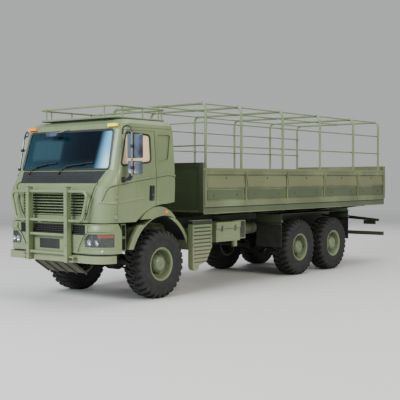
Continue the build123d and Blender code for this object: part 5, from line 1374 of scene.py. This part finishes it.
boxPlan = {
    "x": 1.230,
    "latches": (3.18, 3.59),
    "hook": [(0.006, 1.165), (0.020, 1.160), (0.022, 1.095), (-0.006, 1.085)],  # (out from x, height)
    # pressed panels: stations, heights, how far out from x, corner radius
    "panel": ((3.05, 3.72), (0.91, 1.08), (-0.0105, -0.0065), 0.03),
    "lid_press": ((3.03, 3.74), (1.135, 1.225), (-0.001, 0.003), 0.02),
    "battery": ((3.80, 4.21), (0.90, 1.22), (0.998, 1.003), 0.03),
    "dryer": (1.168, 3.64),  # x and station of the air dryer
    # foot, top and radius of each band
    "dryerBands": ((0.766, 0.792, 0.045), (0.792, 0.800, 0.0545), (0.845, 0.853, 0.0545)),
}


def makeBoxes():
    # a lid seam, two latches and pressed panels on the tool box, bands on the dryer, ribs on the battery box
    x = boxPlan["x"]
    piece("tool_box_seam", [block((x - 0.009, x - 0.006), (3.012, 3.748), (1.112, 1.122))], "black")
    latches = []
    for station in boxPlan["latches"]:
        hook = softPath([(x + out, station, height) for out, height in boxPlan["hook"]], 0.012, 5)
        latches += [block((x - 0.002, x + 0.006), about(station, 0.030), (1.128, 1.185)),
                    pipe(hook, 0.0065, (0, 1, 0)),
                    block((x - 0.012, x + 0.004), about(station, 0.022), (1.065, 1.100))]
    piece("tool_box_latches", latches, "steel", bevel=0.0015)
    for name, bevel in (("panel", 0.002), ("lid_press", 0.0015)):
        stations, heights, (low, high), radius = boxPlan[name]
        press = softSlab(stations, heights, (x + low, x + high), radius)
        piece(f"tool_box_{name}", [press], "cab", bevel=bevel)
    place = boxPlan["dryer"]
    bands = [rod((*place, low), (*place, high), radius, 24) for low, high, radius in boxPlan["dryerBands"]]
    piece("air_dryer_bands", bands, "steel")
    face = [softSlab(*boxPlan["battery"])]
    face += [block((1.003, 1.010), (3.83, 4.18), (z, z + 0.012)) for z in np.linspace(0.93, 1.18, 7)]
    piece("battery_box_face", face, "frame", bevel=0.001)


tankPlan = {
    "box": ((0.640, 0.720), (1.220, 1.230)),  # low and high corner of the fuel tank as (x, height)
    "corner": 0.09,
    "straps": (3.16, 3.96),
    "strapSection": [(0.000, -0.030), (0.004, -0.030), (0.004, 0.030), (0.000, 0.030)],
    "boltHeights": (0.93, 1.02),
    "cap": (1.10, 3.40),  # x and station of the filler cap
    "capParts": ((1.205, 1.245, 0.055, 32), (1.245, 1.262, 0.062, 24)),  # foot, top, radius, sides
    "treads": np.linspace(3.55, 3.85, 9),
    "air": (0.6, 1.04),  # x and height of the air tanks
    "airBands": (4.53, 4.87),
    "airEnds": ((4.38, 4.350), (5.02, 5.050)),  # where each dome starts and ends
    "dome": [(0.0, 0.118), (0.45, 0.112), (0.8, 0.085), (1.0, 0.035), (1.02, 0.0)],  # (depth share, radius)
}


def makeFuelTank():
    # the fuel tank on the right has straps with tension bolts, a filler cap and a step on its top
    x, z = rounded(box(*tankPlan["box"]), tankPlan["corner"]).T
    far, (low, high) = tankPlan["box"][1][0], tankPlan["boltHeights"]
    straps, bolts = [], []
    for station in tankPlan["straps"]:
        path = np.stack([x, np.full(len(x), station), z], axis=-1)
        straps.append(carried(path, tankPlan["strapSection"], (0, 1, 0), True))
        bolts.append(rod((far + 0.014, station, low), (far + 0.014, station, high), 0.008, 10))
        bolts += [block((far + 0.003, far + 0.024), about(station, 0.022), about(height, 0.008))
                  for height in (low, high)]
    place = tankPlan["cap"]
    cap = [rod((*place, start), (*place, end), radius, sides)
           for start, end, radius, sides in tankPlan["capParts"]]
    treads = [block((0.90, 1.16), about(station, 0.006), (1.231, 1.243)) for station in tankPlan["treads"]]
    piece("fuel_tank_straps", sided(straps, "right"), "steel")
    piece("fuel_tank_bolts", sided(bolts, "right"), "steel", bevel=0.001)
    piece("fuel_cap", sided(cap, "right"), "black", bevel=0.003)
    piece("tank_tread", sided(treads, "right"), "steel")


def makeAirTanks():
    # two bands round each tank and a domed end: point = (radius*cos(turn), along, radius*sin(turn))
    x, height = tankPlan["air"]
    bands = [stub((x, station, height), "s", 0.02, 0.1225, 40) for station in tankPlan["airBands"]]
    share, radius = np.array(tankPlan["dome"]).T[..., None]
    turn = np.arange(32) / 32 * 2 * math.pi
    across, up = x + radius * np.cos(turn), height + radius * np.sin(turn)
    ends = []
    for start, end in tankPlan["airEnds"]:
        along = np.broadcast_to(start + (end - start) * share, up.shape)
        ends.append(surface(np.stack([across, along, up], axis=-1)))
    piece("air_tank_bands", both(bands), "steel")
    piece("air_tank_ends", both(ends), "cab", angle=60)


guardPlan = {
    "x": 1.240,
    "grooves": 0.478 + 0.068 * np.arange(1, 12),
    "slant": ((0.54, 0.80), (2.684, 2.823)),  # heights and stations of the guard's slanted rear edge
    # edge bars and the dark band, a painted shade along the guard's top: from x and to x, stations, heights
    "edges": [(-0.11, 0.004, (2.303, 2.311), (0.50, 1.30)), (-0.11, 0.004, (2.849, 2.857), (0.80, 1.30)),
              (-0.11, 0.004, (2.303, 2.857), (1.299, 1.306))],
    "band": [(-0.002, 0.0045, (2.305, 2.855), (1.238, 1.2985)),
             (-0.1105, 0.0045, (2.3015, 2.3055), (1.238, 1.2985))],
    "bolts": [(station, height) for station in (2.322, 2.838) for height in (0.87, 1.05, 1.23)],
    # steel strips that hold the mudflaps: x, stations, heights
    "strips": [((0.61, 1.10), (8.1895, 8.193), (0.66, 0.672)), ((0.61, 1.21), (5.1895, 5.193), (0.66, 0.672)),
               ((0.61, 1.10), (8.170, 8.1795), (1.10, 1.14)), ((0.61, 1.215), (5.170, 5.1795), (1.10, 1.14))],
}


def makeGuards():
    # dark bottoms of painted shade in the ribbed guard's grooves, edge bars, a dark band of painted shade
    # along its top, bolts on its border, strips on the mudflaps
    x = guardPlan["x"]
    ends = [(2.337, np.interp(low, *guardPlan["slant"])) for low in guardPlan["grooves"]]
    grooves = [block((x - 0.0102, x - 0.0086), reach, (low + 0.001, low + 0.025))
               for low, reach in zip(guardPlan["grooves"], ends)]
    pair("guard_grooves", grooves, "frame")
    for name, look in (("edges", "cab"), ("band", "shade")):
        bars = [block((x + low, x + high), *limits) for low, high, *limits in guardPlan[name]]
        pair(f"guard_{name}", bars, look, bevel=0.002)
    spots = [(x, *spot) for spot in guardPlan["bolts"]]
    pair("guard_bolts", [repeated(hexHead(0.011, 0.009), spots)], "frame")
    pair("flap_strips", [block(*strip) for strip in guardPlan["strips"]], "steel", bevel=0.001)


makeFenders()
makeBoxes()
makeFuelTank()
makeAirTanks()
makeGuards()
print("fenders, boxes and tanks made")


# inside the cab, roof rack, underside and rear end

seatPlan = {
    "x": {"left": 0.65, "right": -0.65},
    # name: station and height of its middle, half sizes, crown, lean in degrees, sewn channels
    "pads": {
        "seat_cushion": ((1.225, 1.926), (0.252, 0.218, 0.072), 0.020, 0.0, 4),
        "seat_back": ((1.526, 2.222), (0.250, 0.252, 0.044), 0.012, 96.5, 4),
        "head_pad": ((1.562, 2.560), (0.165, 0.070, 0.040), 0.010, 96.5, 0),
    },
    # the base and its two slides: x, stations, heights
    "base": [((-0.20, 0.20), (1.10, 1.46), (1.745, 1.852)), ((-0.19, -0.15), (1.09, 1.47), (1.702, 1.745)),
             ((0.15, 0.19), (1.09, 1.47), (1.702, 1.745))],
    "stay": (0.055, (1.552, 2.44), (1.560, 2.52), 0.006),  # x, foot and top as (station, height), radius
}


def softWave(wave, soft=0.32):
    # a sine or cosine pushed out towards a square wave: sign(wave) * |wave|^soft
    return np.sign(wave) * np.abs(wave) ** soft


def pad(centre, half, crown, lean, channels, rows=26, ring=44):
    # a stuffed block: a superellipse in every direction, its top crowned and pressed in along channels
    up = np.linspace(-np.pi / 2, np.pi / 2, rows)[:, None]
    turn = (np.arange(ring) / ring * 2 * np.pi)[None]
    flat = softWave(np.cos(up))
    x, s = half[0] * flat * softWave(np.cos(turn)), half[1] * flat * softWave(np.sin(turn))
    z = np.broadcast_to(half[2] * softWave(np.sin(up)), x.shape)
    share = np.clip(z / half[2], 0, 1)
    swell = crown * (1 - (x / half[0]) ** 2) * (1 - (s / half[1]) ** 2)
    grooves = 0.004 * np.cos(x / half[0] * np.pi * channels) ** 12 if channels else 0.0
    z = z - crown * share + share * (swell - grooves)
    ahead, rise = math.cos(lean), math.sin(lean)
    points = np.stack([x, s * ahead - z * rise, s * rise + z * ahead], axis=-1)
    return surface(points + np.array(centre), False)


def makeSeats():
    # cushion, back and head pad on a black base with its slides; each pad keeps inside the seat's own outline
    for side, x in seatPlan["x"].items():
        for name, (middle, half, crown, lean, channels) in seatPlan["pads"].items():
            shape = pad((x, *middle), half, crown, math.radians(lean), channels)
            made = piece(f"{name}_{side}", [shape], "seat", angle=80, slot="seat_cloth")
            if name == "seat_cushion" and side == "left":
                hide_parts("seats")
        base = [laid(block(*part), place=(x, 0, 0)) for part in seatPlan["base"]]
        shift, foot, top, radius = seatPlan["stay"]
        base += [rod((stay, *foot), (stay, *top), radius) for stay in about(x, shift)]
        piece(f"seat_base_{side}", base, "black", bevel=0.006)


dashPlan = {
    "boss": ((0.65, 0.88, 2.15), 35),  # the steering wheel's middle and its tilt in degrees
    "bossProfile": [(-0.01, 0.0), (-0.01, 0.070), (0.012, 0.074), (0.030, 0.060), (0.034, 0.0)],
    "shroud": [(0.69, 1.955), (0.69, 2.075), (0.83, 2.125), (0.86, 2.070)],
    "dials": (0.50, 0.58, 0.66, 0.74, 0.82),
    "vents": (-0.95, -0.60, 0.10, 0.30, 1.00),
    "slots": (1.985, 2.003, 2.021, 2.039),
    "face": (0.802, 0.808),
    "panel": ((-0.22, 0.0), (1.975, 2.06), (0.803, 0.811), 0.012, "xz"),
}


def makeDash():
    # the wheel's boss, a column shroud, dials, vents and a panel on the dashboard's rear
    centre, tilt = dashPlan["boss"]
    rise, ahead = math.sin(math.radians(tilt)), math.cos(math.radians(tilt))
    points, quads, caps = turned(dashPlan["bossProfile"], 32)
    x, s, z = points.T
    points = np.stack([s, x * rise + z * ahead, x * ahead - z * rise], axis=-1) + np.array(centre)
    piece("wheel_boss", [(points, quads, caps)], "black")
    piece("column_shroud", [slab(rounded(dashPlan["shroud"], 0.02), (0.60, 0.70))], "black", bevel=0.006)
    dials = [block(about(x, 0.030), dashPlan["face"], (1.985, 2.045)) for x in dashPlan["dials"]]
    dials += [block(about(x, 0.06), dashPlan["face"], (height, height + 0.008))
              for x in dashPlan["vents"] for height in dashPlan["slots"]]
    piece("dash_dials", dials, "black", bevel=0.002)
    piece("dash_panel", [softSlab(*dashPlan["panel"])], "cowl", bevel=0.003)


rackPlan = {
    "floor": (-0.872, 0.872),
    "bars": np.linspace(0.70, 1.94, 26),
    "lengthwise": np.linspace(-0.80, 0.80, 9),
    "x": 0.886,
    "feet": (0.91, 1.40, 1.77),
    "footProfile": [(0.0, 0.0), (0.0, 0.036), (0.010, 0.034), (0.016, 0.017), (0.016, 0.0)],
    "roof": 3.029,
    "rails": (3.072, 3.261),
    "posts": (0.91, 1.40, 1.885),
    "endPosts": (0.72, (0.65, 1.985)),  # x and stations of the posts in the rack's two ends
    "collar": (0.022, 0.0205, 14),  # half length, radius, sides
}


def makeRack():
    # flat black bars across the rack's floor as painted shade, foot plates on the roof and collars where posts
    # meet the rails
    bars = [block(rackPlan["floor"], about(station, 0.011), (3.050, 3.0565))
            for station in rackPlan["bars"]]
    bars += [block(about(x, 0.008), (0.672, 1.963), (3.0565, 3.0600)) for x in rackPlan["lengthwise"]]
    piece("rack_floor", bars, "black")
    foot, edge = turned(rackPlan["footProfile"], 20), rackPlan["x"]
    feet = [(x, station, rackPlan["roof"]) for station in rackPlan["feet"] for x in (-edge, edge)]
    piece("rack_feet", [laid(foot, (2, 1, 0), place=place) for place in feet], "frame")
    (x, stations), collar = rackPlan["endPosts"], rackPlan["collar"]
    collars = []
    for height in rackPlan["rails"]:
        collars += [stub((edge, station, height), "s", *collar) for station in rackPlan["posts"]]
        collars += [stub((x, station, height), "x", *collar) for station in stations]
    piece("rack_collars", both(collars), "cab")


markerPlan = {
    # side: finish and x limits of the roof's two marker lamps
    "lamps": {"left": ("yellow", 0.896, 1.094), "right": ("amber", -1.094, -0.896)},
    "station": (0.547, 0.600),
    "heights": (2.9015, 2.9535),
}


def makeMarkers():
    # skins over the roof's marker lamps, the left yellow and the right orange, each on a painted foot
    low, high = markerPlan["heights"]
    for side, (look, near, far) in markerPlan["lamps"].items():
        lamp = block((near, far), markerPlan["station"], (low, high))
        piece(f"roof_marker_{side}", [lamp], look, bevel=0.006)
        foot = panel(onFront, (near - 0.006, far + 0.006), (low - 0.002, high + 0.002), 0.012, 0.014, 9, 3)
        piece(f"roof_marker_foot_{side}", [foot], "cab", bevel=0.002)


underPlan = {
    "axles": (1.588, 6.034, 7.446),
    "axleHeight": 0.59,
    "shock": ((0.455, 1.30, 1.06), (0.455, 1.50, 0.60)),
    # bolts of the spring clamps: x, distance from the axle, heights, radius
    "frontClamps": ((0.345, 0.435), 0.045, (0.555, 0.745), 0.008),
    "rearClamps": ((0.460, 0.540), 0.055, (0.50, 0.69), 0.009),
    # brake chambers: from and to as distances from the axle, radius
    "chamber": ((0.17, 0.27, 0.078), (0.27, 0.37, 0.070), (0.262, 0.278, 0.084)),
    "chamberPlace": (0.30, 0.700),
    "bolt": (0.011, 0.012, 0.009, 0.008),
    # ring of bolts on each axle's housing: radius and distance behind the axle, front and rear
    "boltRings": {"front": (0.09216, 0.098), "rear": (0.11376, 0.118)},
}


def makeUnderside():
    # shock absorbers, spring clamps, brake chambers and bolt rings
    front, *rear = underPlan["axles"]
    top, foot = (np.array(end) for end in underPlan["shock"])
    middle = top + (foot - top) * 0.45
    shocks = [rod(top, middle, 0.040, 20), rod(middle, foot, 0.030, 20),
              rod(top + (0.02, 0, 0), top - (0.09, 0, 0), 0.014, 10)]
    clamps, chambers, bolts = [block((0.335, 0.445), about(front, 0.060), (0.735, 0.747))], [], []
    for axles, part in (([front], "frontClamps"), (rear, "rearClamps")):
        xs, shift, (low, high), radius = underPlan[part]
        clamps += [rod((x, station, low), (x, station, high), radius, 8)
                   for axle in axles for station in about(axle, shift) for x in xs]
    x, height = underPlan["chamberPlace"]
    for station, ahead in zip(rear, (-1, 1)):
        chambers += [rod((x, station + ahead * start, height), (x, station + ahead * end, height), radius, 28)
                     for start, end, radius in underPlan["chamber"]]
        start, end = (x, station + ahead * 0.17, height), (x, station + ahead * 0.06, 0.660)
        chambers.append(rod(start, end, 0.014, 10))
    piece("shock_absorbers", both(shocks), "iron")
    piece("spring_clamps", both(clamps), "iron")
    piece("brake_chambers", both(chambers), "iron")
    turn = np.arange(12) / 12 * 2 * np.pi
    for station in underPlan["axles"]:
        radius, back = underPlan["boltRings"]["front" if station == front else "rear"]
        height = underPlan["axleHeight"] + radius * np.sin(turn)
        spots = np.stack([radius * np.cos(turn), np.full(12, station - back), height], axis=-1)
        bolts.append(repeated(forward(bolt(*underPlan["bolt"])), spots))
    piece("axle_bolts", bolts, "steel")


rearPlan = {
    "reflector": ((0.82, 1.08), (0.998, 1.030), (9.719, 9.728)),
    "lamp": (0.700, 1.010),
    "lampRims": ((0.911, 0.9155), (0.9995, 1.004)),
    "cells": (0.10, 0.006, 0.012),  # pitch, start and end of the bars between the lamp's cells
    "amber": (0.915, 1.006),
    "red": (0.706, 0.912),
    "hitchBolt": (0.014, 0.015, 0.010, 0.009),
    "hitchBolts": [(x, 9.400, z) for x in (-0.105, 0.105) for z in (0.955, 1.055)],
    "hitchPlate": ((-0.14, 0.14), (0.925, 1.085), (9.3995, 9.408), 0.02, "xz"),
}


def makeRear():
    # lamps and reflectors on the light bar, and a bolted plate round the hitch
    x, z, depth = rearPlan["reflector"]
    piece("bar_reflectors", both([softSlab(x, z, depth, 0.008, "xz")]), "red", bevel=0.002)
    low, high = rearPlan["lamp"]
    rims = [block((low - 0.004, high + 0.004), (9.716, 9.779), heights) for heights in rearPlan["lampRims"]]
    piece("tail_lamp_rims", both(rims), "black", bevel=0.0015)
    pitch, start, end = rearPlan["cells"]
    cells = [inner + pitch * index for inner in (-high, low) for index in (1, 2)]
    cells = [block((x + start, x + end), (9.7795, 9.7835), (0.918, 0.997)) for x in cells]
    piece("tail_lamp_cells", cells, "black")
    piece("tail_lamp_red", both([block(rearPlan["red"], (9.7790, 9.7815), (0.920, 0.995))]), "red")
    piece("tail_lamp_amber", both([block(rearPlan["amber"], (9.7795, 9.7820), (0.918, 0.997))]), "amber")
    head = laid(bolt(*rearPlan["hitchBolt"]), (1, 0, 2))
    piece("hitch_bolts", [repeated(head, rearPlan["hitchBolts"])], "steel")
    piece("hitch_plate", [softSlab(*rearPlan["hitchPlate"])], "shade", bevel=0.002)


makeSeats()
makeDash()
makeRack()
makeMarkers()
makeUnderside()
makeRear()
print("cab inside, rack, underside and rear made")
